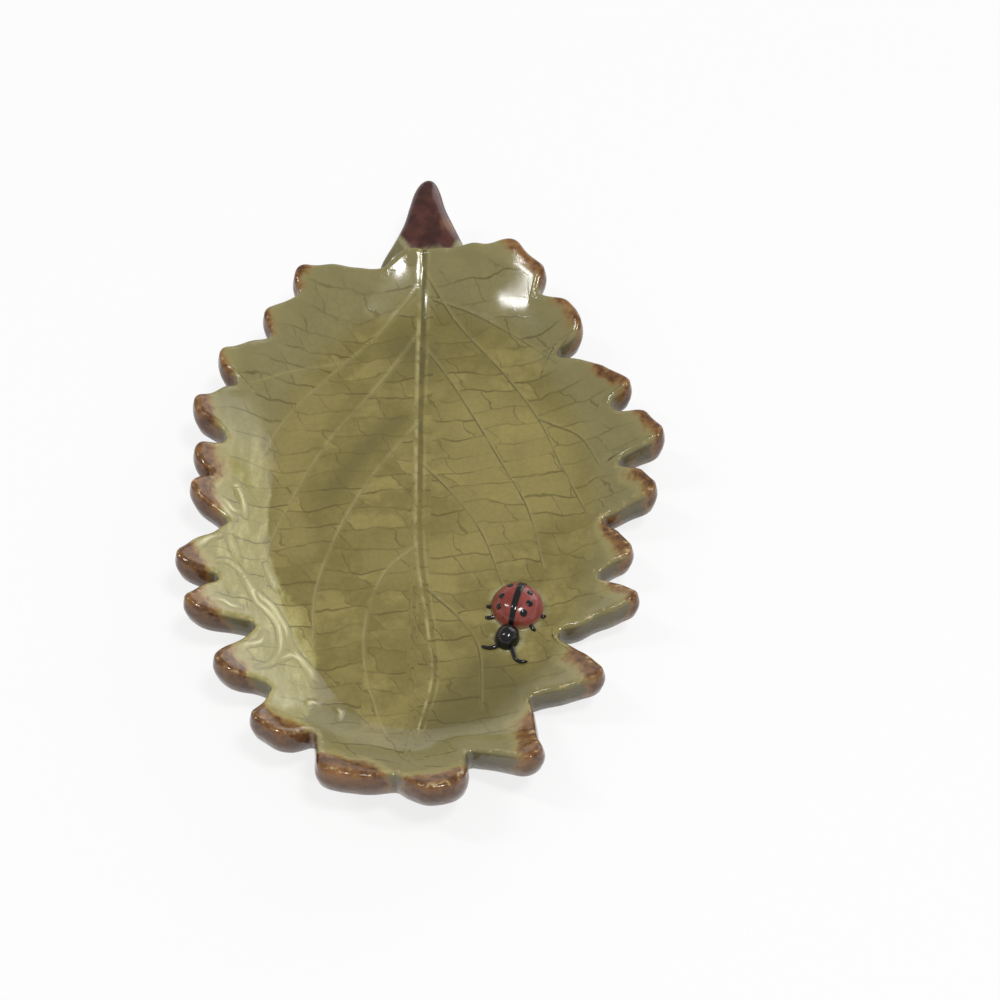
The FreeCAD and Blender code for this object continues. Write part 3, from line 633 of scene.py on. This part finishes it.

# The midrib is a groove, dark where glaze pooled in it and with painted shade towards its right side, with a
# painted highlight along its left edge and a fainter one along its right.
left_edge_highlight = product(ramp(midrib, -1.8, -0.9), ramp(midrib, -0.7, -0.2, 1.0, 0.0))
right_edge_highlight = product(ramp(midrib, 0.9, 1.3), ramp(midrib, 1.4, 2.2, 0.4, 0.0))
highlight_breakup = ramp(cloud(place, 0.004), 0.40, 0.62, 0.10, 0.95)
colour = blend(product(maths("MAXIMUM", left_edge_highlight, right_edge_highlight), highlight_breakup), colour, MIDRIB_EDGE_HIGHLIGHT)
groove_pool_and_shade = product(ramp(midrib, -0.55, -0.05), ramp(midrib, 0.55, 1.10, 1.0, 0.0),
                 ramp(axes["Y"], -0.020, 0.034, 0.35, 0.95), fading)
colour = blend(groove_pool_and_shade, colour, GROOVE_POOL_AND_SHADE)

# A pale halo where the ladybug's own glaze met the leaf's.
halo = product(ramp(bug, 0.2, 1.3, 0.75, 0.0), ramp(mottle, 0.40, 0.60))
colour = blend(halo, colour, HALO_PALE)

# The cut sides are darker and greyer, which is painted shade. Tips and crests rust where the glaze has run
# thin: inside a cream fringe and a tan edge they are brown, and darker down the side. There is most rust on
# the near left teeth and at the near end, and least on the far left teeth and on those right of the floor.
colour = blend(ramp(side, 0.06, 0.32, 0.0, 0.92), colour, SIDE_SHADE)
foxed = product(ramp(side, 0.3, 0.9), ramp(mottle, 0.40, 0.60, 0.0, 0.7), ramp(side, 1.1, 1.7, 1.0, 0.25))
colour = blend(foxed, colour, SIDE_FOXED)
near_end = ramp(axes["Y"], -0.056, -0.046, 1.0, 0.0)
left_teeth = product(ramp(axes["X"], -0.024, -0.010, 1.0, 0.0), ramp(axes["Y"], 0.010, 0.028, 1.0, -1.4))
right_teeth = product(ramp(axes["X"], 0.014, 0.026), ramp(axes["Y"], -0.034, -0.018))
rust_edge = sum_of((crest_near, 1.25), (maths("MINIMUM", rim, 4.0), 0.15), (mottle, 8.0),
                   (grain, 2.5), (near_end, -0.9), (left_teeth, -1.4), (right_teeth, 1.2),
                   (maths("MINIMUM", side, 1.0), -1.8))
fringe = product(ramp(rust_edge, 9.2, 10.2), ramp(rust_edge, 10.6, 13.0, 0.7, 0.0),
                 ramp(side, 0.02, 0.15, 1.0, 0.0), ramp(axes["X"], -0.010, 0.010, 1.0, 0.65),
                 ramp(axes["Y"], 0.0, 0.03, 1.0, 0.15))
colour = blend(fringe, colour, FRINGE_CREAM)
not_below = ramp(side, 1.1, 1.6, 1.0, 0.0)
tan_edge = product(ramp(rust_edge, 9.0, 10.8, 0.6, 0.0), not_below)
colour = blend(tan_edge, colour, EDGE_TAN)
rust_colour = blend(ramp(grain, 0.36, 0.62), RUST_DARK, RUST_LIGHT)
rust_colour = blend(ramp(mottle, 0.46, 0.64, 0.0, 0.75), rust_colour, RUST_PALE)
rust_colour = blend(ramp(side, 0.1, 0.8, 0.0, 0.75), rust_colour, RUST_SIDE)
rusted = product(ramp(rust_edge, 7.9, 9.8, 0.95, 0.0), not_below)
colour = blend(rusted, colour, rust_colour)
# Pale specks along the crests are painted glints.
crest_glints = product(ramp(grain, 0.57, 0.66), ramp(rim, 0.15, 0.5),
                  ramp(rim, 0.8, 1.7, 0.75, 0.0), ramp(axes["Y"], -0.010, 0.020, 1.0, 0.3))
colour = blend(crest_glints, colour, CREST_GLINT_PALE)

# The flat base is wiped bare before firing. Elsewhere the glaze is glossy, sinks into the small veins, swells
# with its mottle on the floor, and is grainy at the rim.
wiped = ramp(sum_of((wall, 1.0), (mottle, 4.0)), 0.5, 1.5, 1.0, 0.0)
bare = product(ramp(side, 1.5, 1.9), wiped)
colour = blend(bare, colour, blend(grain, CLAY_DARK, CLAY_PALE))
tree.links.new(colour, shader.inputs["Base Color"])
gloss = ramp(mottle, 0.3, 0.7, 0.07, 0.16)
tree.links.new(maths("MAXIMUM", gloss, product(bare, 0.75)), shader.inputs["Roughness"])
level = ramp(wall, -1.0, 3.0, 1.0, 0.15)
height = sum_of((product(small_veins, level), -0.45), (product(mottle, level), 0.25),
                (product(grain, ramp(rim, 0.0, 3.5, 1.0, 0.0)), 1.3))
bump = add_node(tree, "Bump", {"Height": height, "Strength": 0.4, "Distance": 0.0002})
tree.links.new(bump.outputs[0], shader.inputs["Normal"])
leaf.data.materials.append(leaf_glaze)
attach(leaf, "root")
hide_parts("leaf_dish")

# Stem: a thumb-rolled cone of the same clay, pressed onto the far edge with slip so that its root spreads
# like a trumpet, and brushed with a dark red-brown glaze. The leaf's glaze runs up its root and drips pale
# there.
STEM_AROUND = 72
STEM_ALONG = 90
STEM_PLACES = (55.0, 58.0, 61.5, 65.5, 69.5, 72.5, 74.5, 75.6, 75.95)
STEM_MIDDLES = (-0.9, -0.8, -0.45, -0.5, -0.75, -0.8, -0.7, -0.6, -0.5)
STEM_HALF_WIDTHS = (9.6, 8.6, 6.7, 4.8, 3.45, 2.65, 1.9, 1.15, 0.5)
STEM_LEVELS = (7.4, 9.7, 11.6, 12.7, 13.5, 13.9, 14.15, 14.25, 14.3)
STEM_HALF_THICKNESSES = (2.6, 2.8, 2.5, 2.2, 1.9, 1.6, 1.2, 0.8, 0.4)
STEM_TIP = (-0.5, 76.05, 14.3)
STEM_WAVE = (0.08, 9, 6)
stations = np.column_stack([STEM_MIDDLES, STEM_PLACES, STEM_LEVELS, STEM_HALF_WIDTHS, STEM_HALF_THICKNESSES])
stations = smooth_route(stations, STEM_ALONG // len(STEM_PLACES))
stem_spine, stem_half, stem_rise = stations[:, None, :3], stations[:, None, 3], stations[:, None, 4]
spin = np.linspace(0, 2 * np.pi, STEM_AROUND, endpoint=False)
stem_ovals = np.stack([stem_half * np.cos(spin), 0 * stem_half * spin, stem_rise * np.sin(spin)], -1)
stem_skin = (stem_spine + stem_ovals).reshape(-1, 3)
stem_skin = stem_skin + unevenness(stem_skin[:, :2], *STEM_WAVE)[:, None] * (1, 0, 1)
stem_numbers = np.arange(len(stem_skin)).reshape(len(stations), STEM_AROUND)
far_ring = stem_numbers[-1]
stem_nose = np.stack([np.roll(far_ring, -1), np.full(STEM_AROUND, len(stem_skin)), far_ring], -1)
stem_faces = ring_quads(stem_numbers[::-1]).tolist() + stem_nose.tolist() + [stem_numbers[0].tolist()]
stem = put_mesh("stem_glazed", np.vstack([stem_skin, STEM_TIP]), stem_faces)

ROOT_DEEP, ROOT_PALE = linear(118, 111, 76), linear(136, 129, 90)
BROWN_DEEP, BROWN_RED = linear(60, 33, 28), linear(90, 50, 42)
# The amber is a painted warm sheen low on the stem's right flank.
AMBER_SHEEN, DRIP_PALE = linear(134, 88, 54), linear(190, 182, 142)
AMBER_SHEEN_PLACE = (0.0040, 0.0650, 0.0140)
stem_glaze, tree, shader = new_finish("stem_glaze", IOR=1.5)
place = add_node(tree, "TexCoord").outputs["Object"]
axes = add_node(tree, "SeparateXYZ", {0: place}).outputs
run_place = add_node(tree, "Mapping", {"Vector": place, "Scale": (1.0, 0.35, 1.0)}).outputs[0]
drips = cloud(run_place, 0.0026, 3.0)
mottle = cloud(place, 0.003, 4.0)
root_colour = blend(ramp(mottle, 0.35, 0.65), ROOT_DEEP, ROOT_PALE)
brown = blend(ramp(mottle, 0.35, 0.70), BROWN_DEEP, BROWN_RED)
beside = maths("MAXIMUM", maths("ABSOLUTE", axes["X"]), 0.0035)
shore = sum_of((axes["Y"], 1.0), (drips, 0.003), (beside, -1.5))
colour = blend(ramp(shore, 0.0540, 0.0564), root_colour, brown)
# A painted warm sheen, amber, low on the stem's right.
amber_sheen_gap = add_node(tree, "VectorMath", {0: place, 1: AMBER_SHEEN_PLACE}, operation="DISTANCE").outputs["Value"]
amber_sheen = ramp(sum_of((amber_sheen_gap, 1.0), (drips, 0.004)), 0.0030, 0.0052, 0.65, 0.0)
colour = blend(amber_sheen, colour, AMBER_SHEEN)
pale = product(ramp(shore, 0.0528, 0.0540), ramp(shore, 0.0544, 0.0560, 0.3, 0.0))
colour = blend(pale, colour, DRIP_PALE)
tree.links.new(colour, shader.inputs["Base Color"])
tree.links.new(ramp(mottle, 0.3, 0.7, 0.12, 0.22), shader.inputs["Roughness"])
height = sum_of((mottle, 1.0), (pale, 0.6))
bump = add_node(tree, "Bump", {"Height": height, "Strength": 0.3, "Distance": 0.0002})
tree.links.new(bump.outputs[0], shader.inputs["Normal"])
stem.data.materials.append(stem_glaze)
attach(stem, "root")
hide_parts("stem")

# Ladybug shell: a pea of clay pressed into a dome and joined to the floor with slip, under a red glaze that
# is pinker towards its right side. Towards the back right it turns milky, partly where the leaf's glaze met
# it and partly a painted glare.
BUG_TURN = np.radians(-15)
BUG_SKIRT = 0.4                         # how far its pieces are sunk below the floor
BUG_WAVE = (0.012, 0.9)                 # its unevenness and that wave's length, in shares of a half size
SHELL_SQUARENESS = 0.84                 # below 1 the dome is flatter on top and steeper at its foot
SHELL_SEED = 11
shell_low, shell_high = (np.array(corner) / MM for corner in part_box("ladybug_shell"))
bug_centre = np.array([*((shell_low + shell_high) / 2)[:2], shell_low[2]])
shell_radius = (shell_high[0] - shell_low[0]) / 2
shell_height = shell_high[2] - shell_low[2]


def on_floor(points):
    """Points of the ladybug's own frame, head towards -Y, turned and set down on the dish's floor."""
    turned = points[..., 0] * np.cos(BUG_TURN) - points[..., 1] * np.sin(BUG_TURN)
    ahead = points[..., 0] * np.sin(BUG_TURN) + points[..., 1] * np.cos(BUG_TURN)
    return np.stack([turned, ahead, points[..., 2]], -1) + bug_centre


def dome(name, centre, half_sizes, squareness, seed, rows=26, spokes=80):
    """A half ball stretched to three half sizes, a little uneven: a skirt below the floor, then rows from the
    floor to the top, closed by a fan at the top and a flat face below. A row's reach is its tilt's cosine to
    the power of the squareness."""
    tilt = np.linspace(0, np.pi / 2, rows, endpoint=False)[:, None]
    spin = np.linspace(0, 2 * np.pi, spokes, endpoint=False)
    reach = np.cos(tilt) ** squareness
    shape = np.stack([reach * np.cos(spin), reach * np.sin(spin), np.sin(tilt) + 0 * spin], -1)
    body = np.vstack([shape.reshape(-1, 3), [[0, 0, 1]]])
    body = body * half_sizes * (1 + unevenness(body[:, :2], *BUG_WAVE, seed)[:, None])
    skirt = body[:spokes] - (0, 0, BUG_SKIRT)
    points = np.vstack([skirt, body]) + centre
    numbers = np.arange((rows + 1) * spokes).reshape(rows + 1, spokes)
    top = np.full(spokes, (rows + 1) * spokes)
    fan = np.stack([numbers[-1], np.roll(numbers[-1], -1), top], -1)
    faces = ring_quads(numbers[:, ::-1]).tolist() + fan.tolist() + [numbers[0, ::-1].tolist()]
    return put_mesh(name, on_floor(points), faces)


shell_half_sizes = (shell_radius, shell_radius, shell_height)
shell = dome("ladybug_shell_glazed", np.zeros(3), shell_half_sizes, SHELL_SQUARENESS, SHELL_SEED)

RED_DEEP, RED_PALE, RED_PINK = linear(124, 54, 44), linear(144, 70, 60), linear(156, 78, 76)
MILKY_GLAZE_AND_GLARE, HEM_PALE = linear(186, 168, 142), linear(168, 138, 112)
MILKY_GLARE_SIDE = (0.80, 0.60)               # the direction in which the glaze turns milky and the glare is painted
MILKY_GLARE_START = 0.88                      # how far out that begins, as a share of the shell's radius
shell_glaze, tree, shader = new_finish("shell_glaze", IOR=1.5)
place = add_node(tree, "TexCoord").outputs["Object"]
axes = add_node(tree, "SeparateXYZ", {0: place}).outputs
blush = cloud(place, 0.0025)
colour = blend(ramp(blush, 0.35, 0.65), RED_DEEP, RED_PALE)
colour = blend(ramp(axes["X"], 0.0160, 0.0200, 0.0, 0.6), colour, RED_PINK)
milky_and_glare = sum_of((axes["X"], MILKY_GLARE_SIDE[0]), (axes["Y"], MILKY_GLARE_SIDE[1]), (blush, 0.0016))
milky_and_glare_edge = (np.dot(MILKY_GLARE_SIDE, bug_centre[:2]) + MILKY_GLARE_START * shell_radius) * MM
colour = blend(ramp(milky_and_glare, milky_and_glare_edge, milky_and_glare_edge + 0.0013, 0.0, 0.5), colour, MILKY_GLAZE_AND_GLARE)
hem = sum_of((axes["Z"], 1.0), (blush, 0.001))
colour = blend(ramp(hem, 0.0068, 0.0079, 0.8, 0.0), colour, HEM_PALE)
tree.links.new(colour, shader.inputs["Base Color"])
tree.links.new(ramp(blush, 0.3, 0.7, 0.08, 0.20), shader.inputs["Roughness"])
shell.data.materials.append(shell_glaze)
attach(shell, "root")
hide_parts("ladybug_shell")

# Ladybug head: a smaller pellet of clay, pressed down in front of the shell and joined to it with slip, in
# black slip under clear glaze.
HEAD_AHEAD = 6.7
HEAD_HALF_WIDTH = 2.15
HEAD_HALF_LENGTH = 2.5
HEAD_SQUARENESS = 1.0                   # a plain half ball
HEAD_SEED = 12
BLACK_DEEP, BLACK_SHEEN = linear(10, 10, 12), linear(30, 27, 27)
head_low, head_high = (np.array(corner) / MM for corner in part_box("ladybug_head"))
head_half_sizes = (HEAD_HALF_WIDTH, HEAD_HALF_LENGTH, head_high[2] - head_low[2])
head = dome("ladybug_head_glazed", np.array([0, -HEAD_AHEAD, 0]), head_half_sizes, HEAD_SQUARENESS, HEAD_SEED)
black_glaze, tree, shader = new_finish("black_glaze", IOR=1.5)
place = add_node(tree, "TexCoord").outputs["Object"]
sheen = cloud(place, 0.002)
tree.links.new(blend(sheen, BLACK_DEEP, BLACK_SHEEN), shader.inputs["Base Color"])
tree.links.new(ramp(sheen, 0.3, 0.7, 0.06, 0.16), shader.inputs["Roughness"])
head.data.materials.append(black_glaze)
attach(head, "root")
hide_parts("ladybug_head")

# Ladybug antennae: two thin rolls of clay laid on the floor in front of the head, curled outwards and pinched
# to a point, in the same black slip.
ANTENNA_ROUTES = {
    "left": ((-1.0, -8.5), (-1.7, -9.3), (-2.7, -9.7), (-3.9, -9.6)),
    "right": ((1.3, -8.5), (2.0, -9.8), (2.6, -10.7), (3.5, -11.0), (4.7, -10.6)),
}
ANTENNA_LEVEL = 0.28                    # its middle line above the floor
ANTENNA_HALF_THICKNESSES = (0.46, 0.26)  # at the root and at the tip
ANTENNA_PINCH = 0.10                    # the share of its length that runs to a point
ANTENNA_STEPS = 10
SLIVER = 0.001                          # what is left of a pinched end, as a share of the length


def roll_of_clay(name, spine, upright, half_widths, half_heights, sides=16):
    """A rounded roll along a line of points: at each point an oval of the given half sizes stands square to
    the line, its height along the upright direction. Both ends close in a fan."""
    ahead = np.gradient(spine, axis=0)
    ahead /= np.linalg.norm(ahead, axis=1)[:, None]
    beside = np.cross(ahead, upright)
    beside /= np.linalg.norm(beside, axis=1)[:, None]
    spin = np.linspace(0, 2 * np.pi, sides, endpoint=False)
    upwards = np.broadcast_to(upright, spine.shape)
    across = beside[:, None] * (half_widths[:, None] * np.cos(spin))[..., None]
    raised = upwards[:, None] * (half_heights[:, None] * np.sin(spin))[..., None]
    ovals = spine[:, None] + across + raised
    points = np.vstack([ovals.reshape(-1, 3), spine[:1], spine[-1:]])
    numbers = np.arange(len(spine) * sides).reshape(len(spine), sides)
    start, end = np.full(sides, numbers.size), np.full(sides, numbers.size + 1)
    first = np.stack([np.roll(numbers[0], -1), numbers[0], start], -1)
    last = np.stack([numbers[-1], np.roll(numbers[-1], -1), end], -1)
    faces = ring_quads(numbers[::-1]).tolist() + first.tolist() + last.tolist()
    piece = put_mesh(name, on_floor(points), faces)
    piece.data.materials.append(black_glaze)
    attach(piece, "root")
    return piece


def pinched_roll(name, route, level, half_thicknesses, pinch, steps):
    """A roll of clay along a smooth route at one level. Its half thickness goes evenly from root to tip, and
    over the pinch it shrinks with the square root of the length that is left."""
    spine = smooth_route(np.column_stack([route, np.full(len(route), level)]), steps)
    share = np.linspace(0, 1, len(spine))
    root, tip = half_thicknesses
    thickness = (root + (tip - root) * share) * np.sqrt(np.clip((1 + SLIVER - share) / pinch, 0, 1))
    return roll_of_clay(name, spine, np.array([0, 0, 1.0]), thickness, thickness)


for hand, route in ANTENNA_ROUTES.items():
    antenna = pinched_roll(f"ladybug_antenna_{hand}_glazed", route, ANTENNA_LEVEL, ANTENNA_HALF_THICKNESSES,
                           ANTENNA_PINCH, ANTENNA_STEPS)
    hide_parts(f"ladybug_antenna_{hand}")

# Ladybug legs: four small nubs of clay in the same black slip, laid on the floor from under the shell's edge
# and pinched off.
LEG_ROUTES = {
    "left_front": ((-3.1, -2.9), (-4.1, -3.5), (-4.9, -3.5)),
    "left_middle": ((-4.0, -0.9), (-4.7, -1.2), (-5.3, -1.1)),
    "right_front": ((3.1, -2.9), (3.8, -3.7), (4.4, -4.1)),
    "right_middle": ((4.0, -0.5), (4.8, -0.8), (5.4, -0.5)),
}
LEG_LEVEL = 0.26
LEG_HALF_THICKNESSES = (0.42, 0.28)
LEG_PINCH = 0.22
LEG_STEPS = 12
for leg_name, route in LEG_ROUTES.items():
    leg = pinched_roll(f"ladybug_leg_{leg_name}_glazed", route, LEG_LEVEL, LEG_HALF_THICKNESSES, LEG_PINCH,
                       LEG_STEPS)
    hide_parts(f"ladybug_leg_{leg_name}")

# Ladybug stripe: black slip trailed along the shell's back in one stroke, wide at the rear and thin at the
# head, that stands up a little where it dried.
STRIPE_HALF_WIDTHS = (0.74, 0.44)
STRIPE_POINTS = 60
STRIPE_START = 0.05                     # the angle over the back, from the rear, at which the stroke begins
STRIPE_SWEEP = 0.96 * np.pi             # the angle that it covers
STRIPE_REACH = 0.985                    # the stroke's half length, as a share of the shell's radius
STRIPE_SWAY = 0.012                     # how far the hand strays to a side, as a share of that radius
STRIPE_SWAY_TURN = 9.0                  # the angle of the sine that it strays along
STRIPE_PINCH = 0.04                     # the share of the stroke that rounds off at either end
SLIP_RISE = 0.17


def on_shell(across, along):
    """Places on the shell's dome at shares of its radius, and the directions square to it, from its slope."""
    power = 2 / SHELL_SQUARENESS
    reach = np.hypot(across, along)
    level = np.sqrt(1 - reach**power)
    steepness = shell_height / shell_radius * power / 2 * reach ** (power - 2) / level
    square_to = np.stack([across * steepness, along * steepness, np.ones_like(level)], -1)
    square_to /= np.linalg.norm(square_to, axis=-1)[..., None]
    return np.stack([across * shell_radius, along * shell_radius, level * shell_height], -1), square_to


share = np.linspace(0, 1, STRIPE_POINTS)
stripe_spine, stripe_up = on_shell(STRIPE_SWAY * np.sin(STRIPE_SWAY_TURN * share),
                                   STRIPE_REACH * np.cos(STRIPE_SWEEP * share + STRIPE_START))
to_ends = np.clip(np.stack([1 + SLIVER - share, share + SLIVER]) / STRIPE_PINCH, 0, 1)
rear_half, front_half = STRIPE_HALF_WIDTHS
stroke = (rear_half + (front_half - rear_half) * share) * np.sqrt(to_ends.prod(0))
stroke_rise = SLIP_RISE * stroke / stroke.max()
stripe = roll_of_clay("ladybug_stripe_glazed", stripe_spine, stripe_up, stroke, stroke_rise)
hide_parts("ladybug_stripe")

# Ladybug spots: drops of the same slip, three on each half of the shell, let fall from a brush. They stand up
# a little where they dried.
SPOT_PLACES = {                         # across, along and radius, in shares of the shell's radius
    "left_1": (-0.38, 0.47, 0.130), "left_2": (-0.58, -0.08, 0.125), "left_3": (-0.57, -0.50, 0.120),
    "right_1": (0.42, 0.30, 0.125), "right_2": (0.52, -0.16, 0.140), "right_3": (0.40, -0.58, 0.145),
}
SPOT_RINGS = np.radians(np.linspace(-80, 80, 13))
for spot_name, (across, along, radius) in SPOT_PLACES.items():
    middle, square_to = on_shell(np.array(across), np.array(along))
    spine = middle + square_to * (SLIP_RISE * np.sin(SPOT_RINGS))[:, None]
    drop_radius = radius * shell_radius * np.cos(SPOT_RINGS)
    across_way = np.cross(square_to, (0, 1.0, 0))
    across_way /= np.linalg.norm(across_way)
    spot = roll_of_clay(f"ladybug_spot_{spot_name}_glazed", spine, across_way, drop_radius, drop_radius)
    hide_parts(f"ladybug_spot_{spot_name}")

# Floor, light and camera: a pale round sweep that turns up at its rim, a small soft box overhead, a strip on
# the left, a large soft box low on the right behind, and the camera where the dish was photographed from, in
# front and above.
SWEEP_RADIUS = 2600.0
SWEEP_BEND = 400.0
SWEEP_TOP = 1000.0
SWEEP_ROWS = 12
SWEEP_AROUND = 96
bend = np.linspace(0, np.pi / 2, SWEEP_ROWS)
bend_reach = SWEEP_RADIUS + SWEEP_BEND * np.sin(bend)
bend_height = SWEEP_BEND * (1 - np.cos(bend))
sweep_reach = np.array([SWEEP_RADIUS / 2, *bend_reach, bend_reach[-1]])[:, None]
sweep_height = np.array([0, *bend_height, SWEEP_TOP])[:, None]
spin = np.linspace(0, 2 * np.pi, SWEEP_AROUND, endpoint=False)
sweep_points = np.stack([sweep_reach * np.cos(spin), sweep_reach * np.sin(spin), sweep_height + 0 * spin], -1)
sweep_numbers = np.arange(sweep_reach.size * SWEEP_AROUND).reshape(-1, SWEEP_AROUND)
sweep_faces = ring_quads(sweep_numbers).tolist() + [sweep_numbers[0].tolist()]
ground = put_mesh("ground", sweep_points.reshape(-1, 3), sweep_faces)

CHALK = (0.95, 0.95, 0.95, 1)
WHITE = (1, 1, 1, 1)
GLOW_SHARE = 0.8                        # how much of the sweep is plain white where it is seen or mirrored
DAYLIGHT = 0.36
ground_paint = bpy.data.materials.new("ground_paint")
ground_paint.use_nodes = True
tree = ground_paint.node_tree
tree.nodes.clear()
rays = add_node(tree, "LightPath").outputs
seen = maths("MAXIMUM", maths("MAXIMUM", rays["Is Camera Ray"], rays["Is Glossy Ray"]),
             rays["Is Transmission Ray"])
chalk = add_node(tree, "BsdfDiffuse", {"Color": CHALK})
glow = add_node(tree, "Emission", {"Color": WHITE, "Strength": 1.0})
glow_share = product(seen, GLOW_SHARE)
mixed = add_node(tree, "MixShader", {0: glow_share, 1: chalk.outputs[0], 2: glow.outputs[0]})
add_node(tree, "OutputMaterial", {"Surface": mixed.outputs[0]})
ground.data.materials.append(ground_paint)

world = bpy.data.worlds.new("studio")
bpy.context.scene.world = world
world.use_nodes = True
daylight = world.node_tree.nodes["Background"].inputs
daylight["Color"].default_value = WHITE
daylight["Strength"].default_value = DAYLIGHT
LAMP_DISTANCE = 1.0


def soft_box(name, towards, width, depth, power, turn=0.0):
    """A lamp of a width and depth, one lamp distance from the dish along a direction. It faces the dish and
    is turned about that line."""
    lamp = bpy.data.lights.new(name, "AREA")
    lamp.shape = "RECTANGLE"
    lamp.size = width
    lamp.size_y = depth
    lamp.energy = power
    box = bpy.data.objects.new(name, lamp)
    bpy.context.scene.collection.objects.link(box)
    direction = np.array(towards) / np.linalg.norm(towards)
    box.location = direction * LAMP_DISTANCE
    box.rotation_mode = "QUATERNION"
    box.rotation_quaternion = box.location.to_track_quat("Z", "Y") @ Quaternion((0, 0, 1), turn)


soft_box("overhead", (0.22, -0.30, 0.93), width=0.16, depth=0.16, power=4.0)
soft_box("left_strip", (-0.514, 0.001, 0.856), width=0.05, depth=0.30, power=1.8, turn=np.radians(-15))
soft_box("back_right", (0.57, 0.72, 0.39), width=0.7, depth=0.7, power=2.4)

CAMERA_PLACE = (0.0134, -0.2750, 0.3623)
CAMERA_TILT = np.radians(38)            # up from straight down
camera_data = bpy.data.cameras.new("camera")
camera_data.lens = 90
camera_data.sensor_width = 36
camera = bpy.data.objects.new("camera", camera_data)
camera.location = CAMERA_PLACE
camera.rotation_euler = (CAMERA_TILT, 0, 0)
bpy.context.scene.collection.objects.link(camera)
bpy.context.scene.camera = camera
bpy.context.scene.view_settings.view_transform = "Standard"
